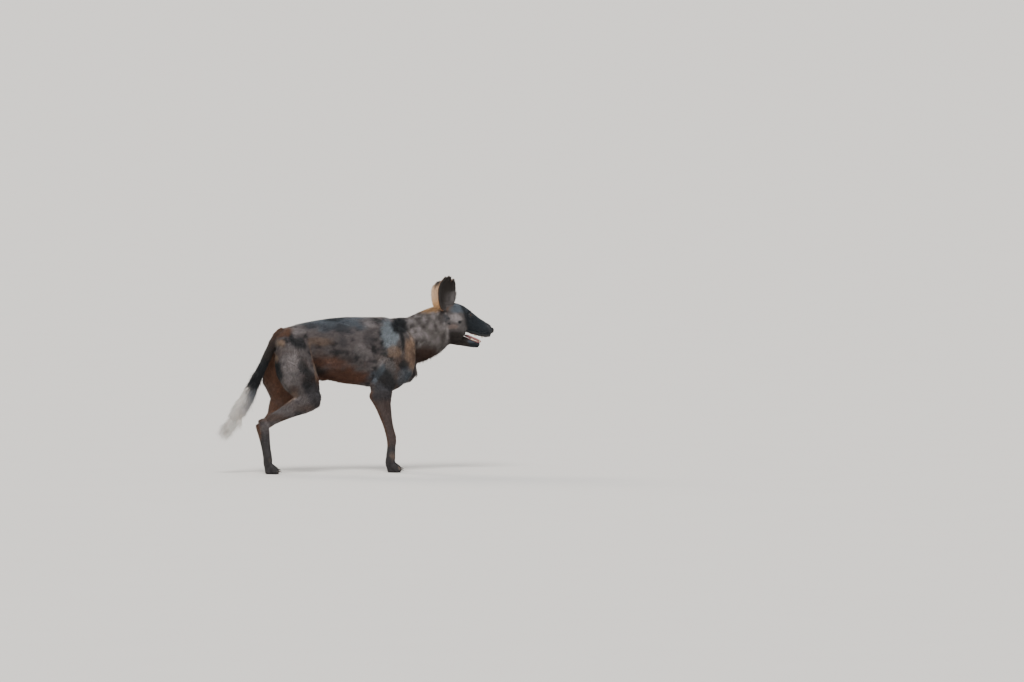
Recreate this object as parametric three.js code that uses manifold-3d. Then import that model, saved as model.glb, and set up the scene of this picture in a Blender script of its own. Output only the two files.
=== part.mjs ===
// An adult male African wild dog at life size, in a low walking stance with its mouth open.
// Millimetres, +Z up. The nose points to +X and the animal's left side is +Y. The paws stand on Z = 0.
// Every solid reaches out to the tips of the coat.
import * as THREE from "three";
import { mergeVertices } from "three/addons/utils/BufferGeometryUtils.js";
import Module from "manifold-3d";

const wasm = await Module();
wasm.setup();

// Driving dimensions. X = 0 is the middle of the ribcage until the whole body is centred at the end.
const WITHERS = 654;
// How far each joint stands from the middle plane.
const LEG_SPREAD = { elbow: 72, forepaw: 60, knee: 78, hindpaw: 66 };
const NOSE_TIP = new THREE.Vector3(539, 0, 589);
const EYE = { x: 425, y: 37, z: 657, radius: 11.5 };
const EAR = {
  x: 322,
  y: 50,
  z: 672,
  height: { right: 150, left: 125 },
  halfWidth: 52,
  thick: 6.5,
  widest: 0.6,
  facing: { right: 58, left: 32 },
  lean: { right: -0.05, left: -0.01 },
  splay: { right: 0.2, left: 0.21 },
};
const PARTING = 0.3;
const SIDES = { right: -1, left: 1 };
const ACROSS = new THREE.Vector3(0, 1, 0);
const UPRIGHT = new THREE.Vector3(0, 0, 1);

// Joint centres of the limbs, as [forward, height]. `full` is the extra depth of the straighter left thigh and calf.
const FORE_JOINTS = {
  right: { elbow: [18, 368], wrist: [78, 134], knuckle: [74, 42] },
  left: { elbow: [53, 368], wrist: [110, 134], knuckle: [104, 42] },
};
const HIND_JOINTS = {
  right: { knee: [-241, 326], hock: [-472, 213], knuckle: [-452, 50], full: 0 },
  left: { knee: [-292, 318], hock: [-450, 188], knuckle: [-424, 42], full: 52 },
};
const HIP = [-368, 545];

const COLOURS = {
  coat: 0x2b2522,
  throat: 0x3a2f29,
  tail: 0xb9b2a8,
  leather: 0x141414,
  tongue: 0xb0606a,
  tooth: 0xd9cfb6,
  iris: 0x3b2415,
  claw: 0x1d1a18,
};

// A cross-section on a spine: its centre, its reach to the front or top, to the back or bottom, and to each side.
function station(x, y, z, fore, aft, wide) {
  return { centre: new THREE.Vector3(x, y, z), size: new THREE.Vector3(fore, aft, wide) };
}

// A cross-section of the trunk, from the heights of its back and belly lines.
function barrel(x, top, bottom, wide, level = 0.58) {
  const middle = bottom + (top - bottom) * level;
  return station(x, 0, middle, top - middle, middle - bottom, wide);
}

// A closed body along smooth curves through the stations. Its rings are ellipses squared by `square`,
// narrowed below by `keel`, and its ends are rounded over the shares `capStart` and `capEnd`.
function loft(stations, options = {}) {
  const {
    around = 16,
    along = 10,
    square = 2.2,
    keel = 0,
    grow = 0,
    capStart = 0.12,
    capEnd = 0.12,
    sideways = ACROSS,
  } = options;
  const spine = new THREE.CatmullRomCurve3(stations.map((s) => s.centre));
  const sizes = new THREE.CatmullRomCurve3(stations.map((s) => s.size));
  const shape = new THREE.SphereGeometry(1, around, along);
  const place = shape.getAttribute("position");
  const round = (share, cap) => (share >= cap ? 1 : Math.sqrt(1 - (1 - share / cap) ** 2));
  for (let i = 0; i < place.count; i++) {
    const unit = new THREE.Vector3().fromBufferAttribute(place, i);
    const share = Math.acos(THREE.MathUtils.clamp(unit.y, -1, 1)) / Math.PI;
    const turn = Math.atan2(unit.z, unit.x);
    const forward = spine.getTangent(share);
    const side = sideways.clone().addScaledVector(forward, -forward.dot(sideways)).normalize();
    const front = new THREE.Vector3().crossVectors(forward, side);
    const size = sizes.getPoint(share);
    const cap = round(share, capStart) * round(1 - share, capEnd);
    const bend = (value) => Math.sign(value) * Math.abs(value) ** (2 / square);
    const across = bend(Math.cos(turn));
    const ahead = bend(Math.sin(turn));
    const narrowed = ahead < 0 ? 1 - keel * ahead * ahead : 1;
    const reach = (ahead > 0 ? size.x : size.y) + grow;
    const point = spine.getPoint(share);
    point.addScaledVector(side, across * (size.z + grow) * narrowed * cap);
    point.addScaledVector(front, ahead * reach * cap);
    point.addScaledVector(forward, grow * (2 * share - 1));
    place.setXYZ(i, point.x, point.y, point.z);
  }
  return solid(shape);
}

// A closed geometry as a solid that can be cut and joined.
function solid(geometry) {
  const bare = geometry.clone();
  bare.deleteAttribute("normal");
  bare.deleteAttribute("uv");
  const merged = mergeVertices(bare, 1e-3);
  return new wasm.Manifold(
    new wasm.Mesh({
      numProp: 3,
      vertProperties: new Float32Array(merged.getAttribute("position").array),
      triVerts: new Uint32Array(merged.getIndex().array),
    }),
  );
}

function ball(x, y, z, radiusX, radiusY, radiusZ, around = 14, along = 9) {
  const shape = new THREE.SphereGeometry(1, around, along);
  shape.scale(radiusX, radiusY, radiusZ);
  shape.translate(x, y, z);
  return solid(shape);
}

function join(...solids) {
  return solids.reduce((whole, piece) => whole.add(piece));
}

// The largest body left when the cutters are taken away, without any sealed hollow.
function carve(whole, ...cutters) {
  const left = cutters.reduce((rest, cutter) => rest.subtract(cutter), whole);
  const bodies = left.decompose();
  return bodies.reduce((best, body) => (body.volume() > best.volume() ? body : best));
}

// The two sides of a thin cut across a limb at a point, square to the given direction.
function part(whole, point, direction) {
  const normal = direction.clone().normalize();
  const level = normal.dot(point);
  const back = normal.clone().negate();
  return {
    ahead: carve(whole.trimByPlane(normal.toArray(), level + PARTING / 2)),
    behind: carve(whole.trimByPlane(back.toArray(), -level + PARTING / 2)),
  };
}

const model = new THREE.Group();

function addNode(name, body, colour, roughness = 0.85) {
  const mesh = body.getMesh();
  const geometry = new THREE.BufferGeometry();
  const place = new Float32Array(mesh.numVert * 3);
  for (let i = 0; i < mesh.numVert; i++)
    place.set(mesh.vertProperties.subarray(i * mesh.numProp, i * mesh.numProp + 3), i * 3);
  geometry.setAttribute("position", new THREE.BufferAttribute(place, 3));
  geometry.setIndex(new THREE.BufferAttribute(mesh.triVerts, 1));
  geometry.computeVertexNormals();
  const material = new THREE.MeshStandardMaterial({ color: colour, roughness, metalness: 0 });
  const made = new THREE.Mesh(geometry, material);
  made.name = name;
  model.add(made);
}

// The trunk: a deep narrow chest, a tucked flank and a low croup.
function trunk() {
  const stations = [
    barrel(-418, 572, 484, 40, 0.5),
    barrel(-384, 602, 448, 60, 0.55),
    barrel(-312, 626, 424, 68),
    barrel(-225, 643, 403, 62),
    barrel(-130, WITHERS + 1, 374, 70),
    barrel(-20, WITHERS, 360, 82),
    barrel(60, WITHERS - 1, 349, 82),
    barrel(118, WITHERS - 2, 362, 72),
    barrel(160, 649, 404, 60),
    barrel(192, 630, 450, 46),
  ];
  return loft(stations, { around: 18, along: 15, square: 2.1, keel: 0.3, capStart: 0.07, capEnd: 0.1 });
}

// The sheath along the rear of the belly, and the scrotum between the thighs.
function maleParts() {
  const sheath = [
    station(-262, 0, 412, 16, 14, 14),
    station(-215, 0, 400, 18, 14, 15),
    station(-165, 0, 392, 16, 13, 13),
  ];
  return [
    loft(sheath, { around: 8, along: 5, capStart: 0.3, capEnd: 0.3 }),
    ball(-412, 0, 402, 27, 24, 30, 8, 6),
    ball(-398, 0, 430, 30, 20, 26, 8, 5),
  ];
}

// The neck, with the ruff's long hair in its outline.
function neck(grow = 0) {
  const stations = [
    station(92, 0, 534, 104, 96, 46),
    station(140, 0, 543, 112, 100, 58),
    station(198, 0, 560, 98, 103, 64),
    station(256, 0, 587, 95, 104, 67),
    station(316, 0, 610, 91, 93, 65),
    station(358, 0, 620, 70, 78, 52),
  ];
  return loft(stations, { around: 14, along: 10, square: 2.1, keel: 0.12, grow, capStart: 0.2, capEnd: 0.2 });
}

// The skull and upper muzzle, from the nape to behind the nose.
function skull(grow = 0) {
  const stations = [
    station(306, 0, 655, 44, 66, 46),
    station(346, 0, 648, 64, 80, 66),
    station(384, 0, 638, 61, 66, 68),
    station(420, 0, 624, 48, 46, 52),
    station(452, 0, 608, 41, 43, 36),
    station(484, 0, 594, 37, 36, 32),
    station(510, 0, 589, 29, 30, 28),
    station(529, 0, 587, 19, 22, 19),
  ];
  return loft(stations, { around: 14, along: 14, square: 2.25, grow, capStart: 0.12, capEnd: 0.08 });
}

// The chewing muscles of the cheeks, down to the corner of the jaw.
function cheek(sign, grow = 0) {
  const stations = [
    station(352, sign * 42, 652, 30, 26, 24),
    station(362, sign * 44, 600, 44, 40, 27),
    station(380, sign * 36, 552, 34, 40, 22),
  ];
  return loft(stations, { around: 8, along: 6, grow, capStart: 0.3, capEnd: 0.3 });
}

// The ridge of the brow over each eye.
function brow(sign) {
  return ball(416, sign * 33, 668, 19, 14, 9, 8, 5);
}

// The roof of the mouth, hollowed between the lips.
function palate() {
  const stations = [
    station(400, 0, 582, 10, 13, 27),
    station(436, 0, 572, 10, 13, 23),
    station(472, 0, 561, 10, 13, 16),
    station(500, 0, 559, 8, 11, 11),
  ];
  return loft(stations, { around: 8, along: 7, square: 3, capStart: 0.12, capEnd: 0.12 });
}

function lowerJaw(grow = 0) {
  const stations = [
    station(326, 0, 572, 26, 36, 44),
    station(360, 0, 560, 24, 30, 42),
    station(402, 0, 550, 18, 25, 36),
    station(436, 0, 541, 14, 22, 27),
    station(462, 0, 534, 12, 17, 22),
    station(477, 0, 532, 9, 10, 16),
  ];
  return loft(stations, { around: 10, along: 8, square: 2.4, grow, capStart: 0.1, capEnd: 0.14 });
}

function tongue() {
  const stations = [
    station(402, 0, 573, 7, 6, 19),
    station(436, 0, 562, 6, 6, 17),
    station(464, 0, 550, 5, 5, 14),
    station(483, 0, 543, 4, 4, 11),
  ];
  return loft(stations, { around: 8, along: 7, capStart: 0.15, capEnd: 0.18 });
}

// One tooth, a short cone that leaves the gum straight up or down.
function tooth(x, y, z, height, radius) {
  const shape = new THREE.ConeGeometry(radius, Math.abs(height), 4, 1);
  shape.translate(0, Math.abs(height) / 2, 0);
  shape.rotateX(height > 0 ? Math.PI / 2 : -Math.PI / 2);
  shape.translate(x, y, z);
  return solid(shape);
}

// A gum bar bent round the front of the jaw, with the canines and cheek teeth joined to it.
function toothRow({ front, back, frontZ, backZ, frontY, backY, up, grow = 0 }) {
  const along = (share, sign) => [
    front + (back - front) * share,
    sign * (frontY + (backY - frontY) * share),
    frontZ + (backZ - frontZ) * share,
  ];
  const gum = [
    station(...along(1, -1), 4.5, 4.5, 4),
    station(...along(0.5, -1), 4.5, 4.5, 4),
    station(...along(0, -1), 4.5, 4.5, 4),
    station(front + 7, 0, frontZ, 4.5, 4.5, 4),
    station(...along(0, 1), 4.5, 4.5, 4),
    station(...along(0.5, 1), 4.5, 4.5, 4),
    station(...along(1, 1), 4.5, 4.5, 4),
  ];
  const bar = loft(gum, { around: 5, along: 12, grow, capStart: 0.06, capEnd: 0.06, sideways: UPRIGHT });
  const teeth = [];
  for (const sign of Object.values(SIDES)) {
    teeth.push(tooth(...along(0, sign), up * 15, 3.2 + grow));
    for (const share of [0.3, 0.5, 0.72]) teeth.push(tooth(...along(share, sign), up * 9.5, 4 + grow));
  }
  return join(bar, ...teeth);
}

function upperTeeth() {
  return toothRow({ front: 488, back: 424, frontZ: 567, backZ: 575, frontY: 7, backY: 15, up: -1 });
}

function lowerTeeth(grow = 0) {
  return toothRow({ front: 469, back: 416, frontZ: 544, backZ: 562, frontY: 12, backY: 24, up: 1, grow });
}

function nose() {
  const tip = NOSE_TIP;
  const stations = [
    station(tip.x - 26, 0, tip.z + 2, 13, 12, 14),
    station(tip.x - 12, 0, tip.z + 1, 13, 13, 17),
    station(tip.x - 2, 0, tip.z, 10, 10, 13),
  ];
  return loft(stations, { around: 10, along: 6, square: 2.5, capStart: 0.3, capEnd: 0.35 });
}

function eye(sign, grow = 0) {
  const radius = EYE.radius + grow;
  return ball(EYE.x, sign * EYE.y, EYE.z, radius, radius, radius, 9, 7);
}

// A round cupped ear, a funnel at its foot and nearly flat at its top. It opens `facing` degrees from straight ahead,
// its rim is widest at the share `widest` of its height, and its sides curl forward most at the foot.
function ear(side) {
  const sign = SIDES[side];
  const facing = THREE.MathUtils.degToRad(EAR.facing[side]);
  const up = new THREE.Vector3(EAR.lean[side], sign * EAR.splay[side], 0.98).normalize();
  const open = new THREE.Vector3(Math.cos(facing), sign * Math.sin(facing), 0);
  open.addScaledVector(up, -open.dot(up)).normalize();
  const front = new THREE.Vector3().crossVectors(open, up).multiplyScalar(sign);
  const shape = new THREE.BoxGeometry(2, 1, 1, 6, 8, 1);
  const place = shape.getAttribute("position");
  for (let i = 0; i < place.count; i++) {
    const across = place.getX(i) * sign;
    const rise = place.getY(i) + 0.5;
    const above = rise > EAR.widest ? (rise - EAR.widest) / (1.01 - EAR.widest) : (EAR.widest - rise) / 0.62;
    const power = rise > EAR.widest ? 2.4 : 2;
    const width = EAR.halfWidth * (1 - above ** power) ** (1 / power);
    const curl = THREE.MathUtils.lerp(1.5, 0.5, rise ** 0.7);
    const radius = width / Math.sin(Math.min(curl, Math.PI / 2));
    const angle = across * curl;
    const skin = EAR.thick * -place.getZ(i);
    const point = new THREE.Vector3(EAR.x, sign * EAR.y, EAR.z);
    point.addScaledVector(up, EAR.height[side] * rise);
    point.addScaledVector(front, (radius - skin) * Math.sin(angle));
    point.addScaledVector(open, -(radius - skin) * Math.cos(angle) + radius * Math.cos(curl));
    place.setXYZ(i, point.x, point.y, point.z);
  }
  return solid(shape);
}

// The tail hangs from the croup, swells into its white brush and ends in a point.
function tail(grow = 0) {
  const stations = [
    station(-346, 0, 604, 22, 24, 25),
    station(-386, 0, 584, 23, 24, 24),
    station(-419, 0, 536, 21, 22, 21),
    station(-450, 0, 474, 22, 22, 21),
    station(-480, 0, 412, 27, 26, 24),
    station(-512, 0, 350, 34, 33, 30),
    station(-544, 0, 292, 38, 37, 33),
    station(-588, 0, 226, 30, 29, 26),
    station(-628, 0, 168, 16, 15, 14),
    station(-652, 0, 138, 5, 5, 5),
  ];
  return loft(stations, { around: 10, along: 15, square: 2, grow, capStart: 0.05, capEnd: 0.04 });
}

// The shoulder blade and upper arm, one broad mass on the side of the chest down to the elbow.
function shoulder(side, grow = 0) {
  const sign = SIDES[side];
  const [elbowX, elbowZ] = FORE_JOINTS[side].elbow;
  const shift = elbowX - FORE_JOINTS.right.elbow[0];
  const stations = [
    station(94, sign * 44, 622, 30, 32, 18),
    station(106, sign * 57, 566, 54, 60, 28),
    station(112 + shift * 0.3, sign * 66, 504, 72, 78, 34),
    station(92 + shift * 0.6, sign * 70, 444, 84, 86, 35),
    station(64 + shift * 0.9, sign * LEG_SPREAD.elbow, 394, 62, 72, 32),
    station(elbowX + 10, sign * LEG_SPREAD.elbow, elbowZ - 14, 42, 54, 28),
  ];
  return loft(stations, { around: 12, along: 10, grow, capStart: 0.16, capEnd: 0.2 });
}

// The forearm, wrist and pastern in one line down to the knuckles of the paw.
function forearm(side) {
  const { elbow, wrist, knuckle } = FORE_JOINTS[side];
  const between = (share) => elbow.map((v, i) => v + (wrist[i] - v) * share);
  const across = (z) => THREE.MathUtils.mapLinear(z, elbow[1], knuckle[1], LEG_SPREAD.elbow, LEG_SPREAD.forepaw);
  const at = ([x, z], fore, aft, wide, drop = 0) =>
    station(x, SIDES[side] * across(z - drop), z - drop, fore, aft, wide);
  const stations = [
    at(between(0.04), 56, 52, 28),
    at(between(0.18), 54, 49, 28),
    at(between(0.36), 35, 35, 25),
    at(between(0.58), 25, 25, 21),
    at(between(0.8), 19.5, 19, 18),
    at(wrist, 20, 20, 21),
    at(wrist, 17, 17, 18, 34),
    at(knuckle, 19, 20, 24, -14),
    at(knuckle, 18, 20, 25, 22),
  ];
  stations[6].centre.x += (knuckle[0] - wrist[0]) * 0.36;
  return loft(stations, { around: 10, along: 15, capStart: 0.06, capEnd: 0.08 });
}

// The thigh, a broad flat mass from the hip to the knee. `full` carries the hamstrings further back and down.
function thigh(side, grow = 0) {
  const sign = SIDES[side];
  const { knee, full } = HIND_JOINTS[side];
  const [kneeX, kneeZ] = knee;
  const back = kneeX - HIND_JOINTS.right.knee[0];
  const stations = [
    station(HIP[0] + 10, sign * 46, HIP[1] + 50, 46, 42, 22),
    station(HIP[0] + 14, sign * 58, HIP[1] - 30, 88, 66, 34),
    station(HIP[0] + 24 + back * 0.4, sign * 68, HIP[1] - 100, 92, 80, 39),
    station(HIP[0] + 52 + back * 0.9, sign * 76, HIP[1] - 160, 92, 70 + full * 0.25, 37),
    station(kneeX + 12, sign * LEG_SPREAD.knee, kneeZ, 58, 64 + full * 0.4, 31),
  ];
  return loft(stations, { around: 12, along: 10, grow, capStart: 0.14, capEnd: 0.24 });
}

// How far the lower hind leg stands from the middle at a height.
function hindLine(side, z) {
  const { knee, knuckle } = HIND_JOINTS[side];
  return SIDES[side] * THREE.MathUtils.mapLinear(z, knee[1], knuckle[1], LEG_SPREAD.knee, LEG_SPREAD.hindpaw);
}

// The lower hind leg: the calf tapers to the tendon above the hock.
function gaskin(side) {
  const { knee, hock, full } = HIND_JOINTS[side];
  const between = (share) => knee.map((v, i) => v + (hock[i] - v) * share);
  const at = ([x, z], fore, aft, wide) => station(x, hindLine(side, z), z, fore, aft, wide);
  const stations = [
    at(between(-0.08), 46, 46 + full * 0.6, 30),
    at(between(0.2), 47, 54 + full, 31),
    at(between(0.52), 33, 34 + full * 0.6, 25),
    at(between(0.78), 26, 26, 20),
    at(between(1), 25, 27, 21),
  ];
  return loft(stations, { around: 10, along: 9, capStart: 0.18, capEnd: 0.14 });
}

// The hock and the long bones of the hind foot, down to the knuckles.
function hindShank(side) {
  const { hock, knuckle } = HIND_JOINTS[side];
  const between = (share) => hock.map((v, i) => v + (knuckle[i] - v) * share);
  const at = ([x, z], fore, aft, wide) => station(x, hindLine(side, z), z, fore, aft, wide);
  const stations = [
    at([hock[0] - 9, hock[1] + 24], 12, 14, 13),
    at(between(0), 24, 24, 21),
    at(between(0.22), 20, 20, 19),
    at(between(0.6), 16, 16, 18),
    at(between(0.92), 18, 18, 23),
    at([knuckle[0] + 1, knuckle[1] - 22], 16, 17, 23),
  ];
  return loft(stations, { around: 8, along: 11, capStart: 0.1, capEnd: 0.1 });
}

// Four toes fan out from the knuckles. The two middle ones reach further and every claw leaves its toe's tip.
const TOES = [
  { name: "inner", spread: -17, reach: 32, turn: -0.16 },
  { name: "second", spread: -6.5, reach: 45, turn: -0.04 },
  { name: "third", spread: 6.5, reach: 45, turn: 0.04 },
  { name: "outer", spread: 17, reach: 32, turn: 0.16 },
];

function toeLine([knuckleX, knuckleZ], y, sign, toe) {
  const side = sign * toe.spread;
  const swing = sign * Math.tan(toe.turn);
  const point = (reach, z) => [knuckleX + reach, y + side + swing * reach, z];
  return {
    root: point(2, knuckleZ - 4),
    arch: point(toe.reach * 0.45, 23),
    pad: point(toe.reach * 0.8, 10.5),
    tip: point(toe.reach, 10),
    claw: point(toe.reach + 14, 6),
  };
}

function toe(line, grow = 0) {
  const stations = [
    station(...line.root, 11, 11, 8.5),
    station(...line.arch, 11, 11, 9),
    station(...line.pad, 12, 12.5, 9),
    station(...line.tip, 9, 9, 7),
  ];
  return loft(stations, { around: 6, along: 5, grow, capStart: 0.2, capEnd: 0.3 });
}

function claw(line) {
  const [tipX, tipY, tipZ] = line.tip;
  const stations = [
    station(tipX - 2, tipY, tipZ + 2.5, 3.6, 3.6, 2.8),
    station((tipX + line.claw[0]) / 2 + 2, (tipY + line.claw[1]) / 2, tipZ + 1, 3, 3, 2.3),
    station(...line.claw, 1, 1, 0.8),
  ];
  return loft(stations, { around: 4, along: 3, capStart: 0.2, capEnd: 0.2 });
}

// One paw with its heel pad, flat where its pads stand on the floor, and its four claws.
function paw(name, knuckle, y, sign, shank) {
  const lines = TOES.map((t) => toeLine(knuckle, y, sign, t));
  const heel = ball(knuckle[0] + 8, y, 13, 26, 20, 17, 8, 5);
  const whole = join(shank, heel, ...lines.map((line) => toe(line)));
  addNode(name, carve(whole.trimByPlane([0, 0, 1], 0)), COLOURS.coat);
  for (const [i, line] of lines.entries())
    addNode(`${name}_claw_${TOES[i].name}`, carve(claw(line), toe(line, PARTING)), COLOURS.claw, 0.4);
}

function foreleg(side) {
  const sign = SIDES[side];
  const { elbow, wrist, knuckle } = FORE_JOINTS[side];
  const down = new THREE.Vector3(0.1, 0, -1);
  const wristPoint = new THREE.Vector3(wrist[0], 0, wrist[1] - 22);
  const elbowPoint = new THREE.Vector3(elbow[0], 0, elbow[1] - 22);
  const { ahead: shank, behind: arm } = part(forearm(side), wristPoint, down);
  const { ahead: lower, behind: upper } = part(join(arm, shoulder(side)), elbowPoint, down);
  addNode(`foreleg_${side}_upper_arm`, upper, COLOURS.coat);
  addNode(`foreleg_${side}_forearm`, lower, COLOURS.coat);
  paw(`forepaw_${side}`, knuckle, sign * LEG_SPREAD.forepaw, sign, shank);
}

function hindleg(side) {
  const sign = SIDES[side];
  const { knee, hock, knuckle } = HIND_JOINTS[side];
  const anklePoint = new THREE.Vector3(hock[0], 0, hock[1] - 40);
  const lowerLeg = join(gaskin(side), hindShank(side));
  const { ahead: shank, behind: calf } = part(lowerLeg, anklePoint, new THREE.Vector3(0.1, 0, -1));
  const creasePoint = new THREE.Vector3(knee[0] - 80, 0, knee[1] - 30);
  const { ahead, behind } = part(join(thigh(side), calf), creasePoint, new THREE.Vector3(-0.68, 0, -0.73));
  addNode(`hindleg_${side}_thigh`, behind, COLOURS.coat);
  addNode(`hindleg_${side}_lower_leg`, ahead, COLOURS.coat);
  paw(`hindpaw_${side}`, knuckle, sign * LEG_SPREAD.hindpaw, sign, shank);
}

const sideNames = Object.keys(SIDES);
const signs = Object.values(SIDES);
for (const side of sideNames) {
  foreleg(side);
  hindleg(side);
}

// The trunk, neck and head are one body parted by slanting cuts at the foot of the neck, the nape and the nose.
const legMasses = sideNames.flatMap((side) => [shoulder(side, PARTING), thigh(side, PARTING)]);
const body = join(trunk(), ...maleParts(), neck());
const neckFoot = part(body, new THREE.Vector3(152, 0, 545), new THREE.Vector3(0.95, 0, 0.31));
addNode("trunk", carve(neckFoot.behind, ...legMasses, tail(PARTING)), COLOURS.coat);
const headWhole = join(neckFoot.ahead, skull(), nose(), ...signs.map((s) => cheek(s)), ...signs.map(brow));
const nape = part(headWhole, new THREE.Vector3(322, 0, 615), new THREE.Vector3(0.965, 0, 0.26));
addNode("neck", carve(nape.behind, ...sideNames.map((side) => shoulder(side, PARTING))), COLOURS.throat);
const muzzle = part(nape.ahead, new THREE.Vector3(514, 0, 590), new THREE.Vector3(0.93, 0, 0.37));
addNode("nose", muzzle.ahead, COLOURS.leather, 0.4);
addNode("head", carve(muzzle.behind, palate(), ...signs.map((s) => eye(s, PARTING))), COLOURS.coat);
const skullRoom = join(skull(PARTING), neck(PARTING), ...signs.map((s) => cheek(s, PARTING)));
addNode("lower_jaw", carve(lowerJaw(), skullRoom), COLOURS.coat);
addNode("tongue", carve(tongue(), skullRoom, lowerJaw(PARTING), lowerTeeth(PARTING)), COLOURS.tongue, 0.35);
addNode("upper_teeth", carve(upperTeeth(), skullRoom.subtract(palate())), COLOURS.tooth, 0.3);
addNode("lower_teeth", carve(lowerTeeth(), skullRoom, lowerJaw(PARTING)), COLOURS.tooth, 0.3);
addNode("tail", tail(), COLOURS.tail);
for (const side of sideNames) {
  addNode(`eye_${side}`, eye(SIDES[side]), COLOURS.iris, 0.1);
  addNode(`ear_${side}`, carve(ear(side), skullRoom), COLOURS.coat);
}

// The origin is under the middle of the whole body, on the floor.
const bounds = new THREE.Box3().setFromObject(model);
model.position.set(-(bounds.min.x + bounds.max.x) / 2, -(bounds.min.y + bounds.max.y) / 2, -bounds.min.z);

export default model;
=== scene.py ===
"""Looks of a life-size still African wild dog: one skin, its mottled coat, eyes, mouth and claws.

Metres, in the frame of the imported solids. The nose points to +X, the animal's left is +Y and the floor
is Z = 0.
"""

import logging
import math
from collections.abc import Callable
from dataclasses import dataclass, field
from enum import Enum
from itertools import product

import bmesh
import bpy
import numpy as np
from mathutils import Matrix, Vector
from mathutils.bvhtree import BVHTree


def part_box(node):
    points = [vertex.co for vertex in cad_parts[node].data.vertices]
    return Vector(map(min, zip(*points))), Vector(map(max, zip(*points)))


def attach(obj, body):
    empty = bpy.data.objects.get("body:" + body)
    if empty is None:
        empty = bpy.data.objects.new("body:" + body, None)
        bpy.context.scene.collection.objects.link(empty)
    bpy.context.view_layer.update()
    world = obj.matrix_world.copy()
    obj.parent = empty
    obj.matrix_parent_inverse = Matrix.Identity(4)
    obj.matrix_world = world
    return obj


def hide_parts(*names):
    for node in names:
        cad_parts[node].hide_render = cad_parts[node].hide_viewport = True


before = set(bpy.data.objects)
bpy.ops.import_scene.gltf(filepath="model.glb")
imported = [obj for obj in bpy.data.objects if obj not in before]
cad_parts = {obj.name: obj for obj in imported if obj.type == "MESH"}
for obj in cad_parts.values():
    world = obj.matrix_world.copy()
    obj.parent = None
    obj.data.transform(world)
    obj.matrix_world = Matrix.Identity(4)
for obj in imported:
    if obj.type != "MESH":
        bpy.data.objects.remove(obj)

LOG = logging.getLogger("wild_dog")
MM = 0.001
SEED = 20
BODY = "root"
SIDES = {"right": -1, "left": 1}
IMAGE = (1024, 682)
# A place or size in millimetres.
Triple = tuple[float, float, float]
# A fold's name, middle and reach.
Fold = tuple[str, Triple, float]


class Region(Enum):
    """The parts of the body whose coats differ."""

    TRUNK = 0
    NECK = 1
    HEAD = 2
    JAW = 3
    NOSE = 4
    EAR = 5
    TAIL = 6
    UPPER_ARM = 7
    FOREARM = 8
    THIGH = 9
    LOWER_LEG = 10
    PAW = 11


@dataclass(frozen=True)
class Pelt:
    """How the coat grows on a region, in millimetres and degrees.

    `smooth` is how far the skin is evened out, and `firm` how well it keeps its thickness while it is.
    """

    depth: float
    length: float
    width: float
    stray: float
    smooth: float
    firm: float = 1.0


PELTS = {
    Region.TRUNK: Pelt(depth=4.5, length=15, width=2.3, stray=13, smooth=1.0, firm=0.0),
    Region.NECK: Pelt(depth=6.0, length=23, width=2.2, stray=16, smooth=0.9, firm=0.0),
    Region.HEAD: Pelt(depth=1.8, length=7, width=1.4, stray=11, smooth=0.6),
    Region.JAW: Pelt(depth=1.6, length=6, width=1.4, stray=11, smooth=0.5),
    Region.NOSE: Pelt(depth=0.8, length=4.5, width=1.2, stray=8, smooth=0.5),
    Region.EAR: Pelt(depth=1.0, length=8, width=1.4, stray=13, smooth=0.5),
    Region.TAIL: Pelt(depth=0.0, length=56, width=1.9, stray=8, smooth=0.5),
    Region.UPPER_ARM: Pelt(depth=4.0, length=13, width=2.2, stray=13, smooth=0.9, firm=0.2),
    Region.FOREARM: Pelt(depth=2.4, length=9, width=1.8, stray=11, smooth=0.8, firm=0.9),
    Region.THIGH: Pelt(depth=4.0, length=13, width=2.2, stray=13, smooth=0.9, firm=0.2),
    Region.LOWER_LEG: Pelt(depth=2.4, length=10, width=1.8, stray=11, smooth=0.8, firm=0.9),
    Region.PAW: Pelt(depth=0.9, length=4.5, width=1.3, stray=11, smooth=0.25),
}

# Each flesh node's region and the direction in which its hair lies.
FLESH = {
    "trunk": (Region.TRUNK, (-1.0, 0.0, -0.28)),
    "neck": (Region.NECK, (-0.8, 0.0, -0.6)),
    "head": (Region.HEAD, (-1.0, 0.0, -0.05)),
    "lower_jaw": (Region.JAW, (-1.0, 0.0, 0.05)),
    "nose": (Region.NOSE, (-1.0, 0.0, 0.2)),
    "tail": (Region.TAIL, (-0.55, 0.0, -0.83)),
    "ear_right": (Region.EAR, (0.0, 0.0, 1.0)),
    "ear_left": (Region.EAR, (0.0, 0.0, 1.0)),
    "foreleg_right_upper_arm": (Region.UPPER_ARM, (-0.45, 0.0, -1.0)),
    "foreleg_left_upper_arm": (Region.UPPER_ARM, (-0.45, 0.0, -1.0)),
    "foreleg_right_forearm": (Region.FOREARM, (0.1, 0.0, -1.0)),
    "foreleg_left_forearm": (Region.FOREARM, (0.1, 0.0, -1.0)),
    "forepaw_right": (Region.PAW, (0.6, 0.0, -0.8)),
    "forepaw_left": (Region.PAW, (0.6, 0.0, -0.8)),
    "hindleg_right_thigh": (Region.THIGH, (-0.55, 0.0, -1.0)),
    "hindleg_left_thigh": (Region.THIGH, (-0.55, 0.0, -1.0)),
    "hindleg_right_lower_leg": (Region.LOWER_LEG, (-0.85, 0.0, -0.5)),
    "hindleg_left_lower_leg": (Region.LOWER_LEG, (-0.75, 0.0, -0.65)),
    "hindpaw_right": (Region.PAW, (0.35, 0.0, -1.0)),
    "hindpaw_left": (Region.PAW, (0.35, 0.0, -1.0)),
}
NODE_NAMES = list(FLESH)


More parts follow.
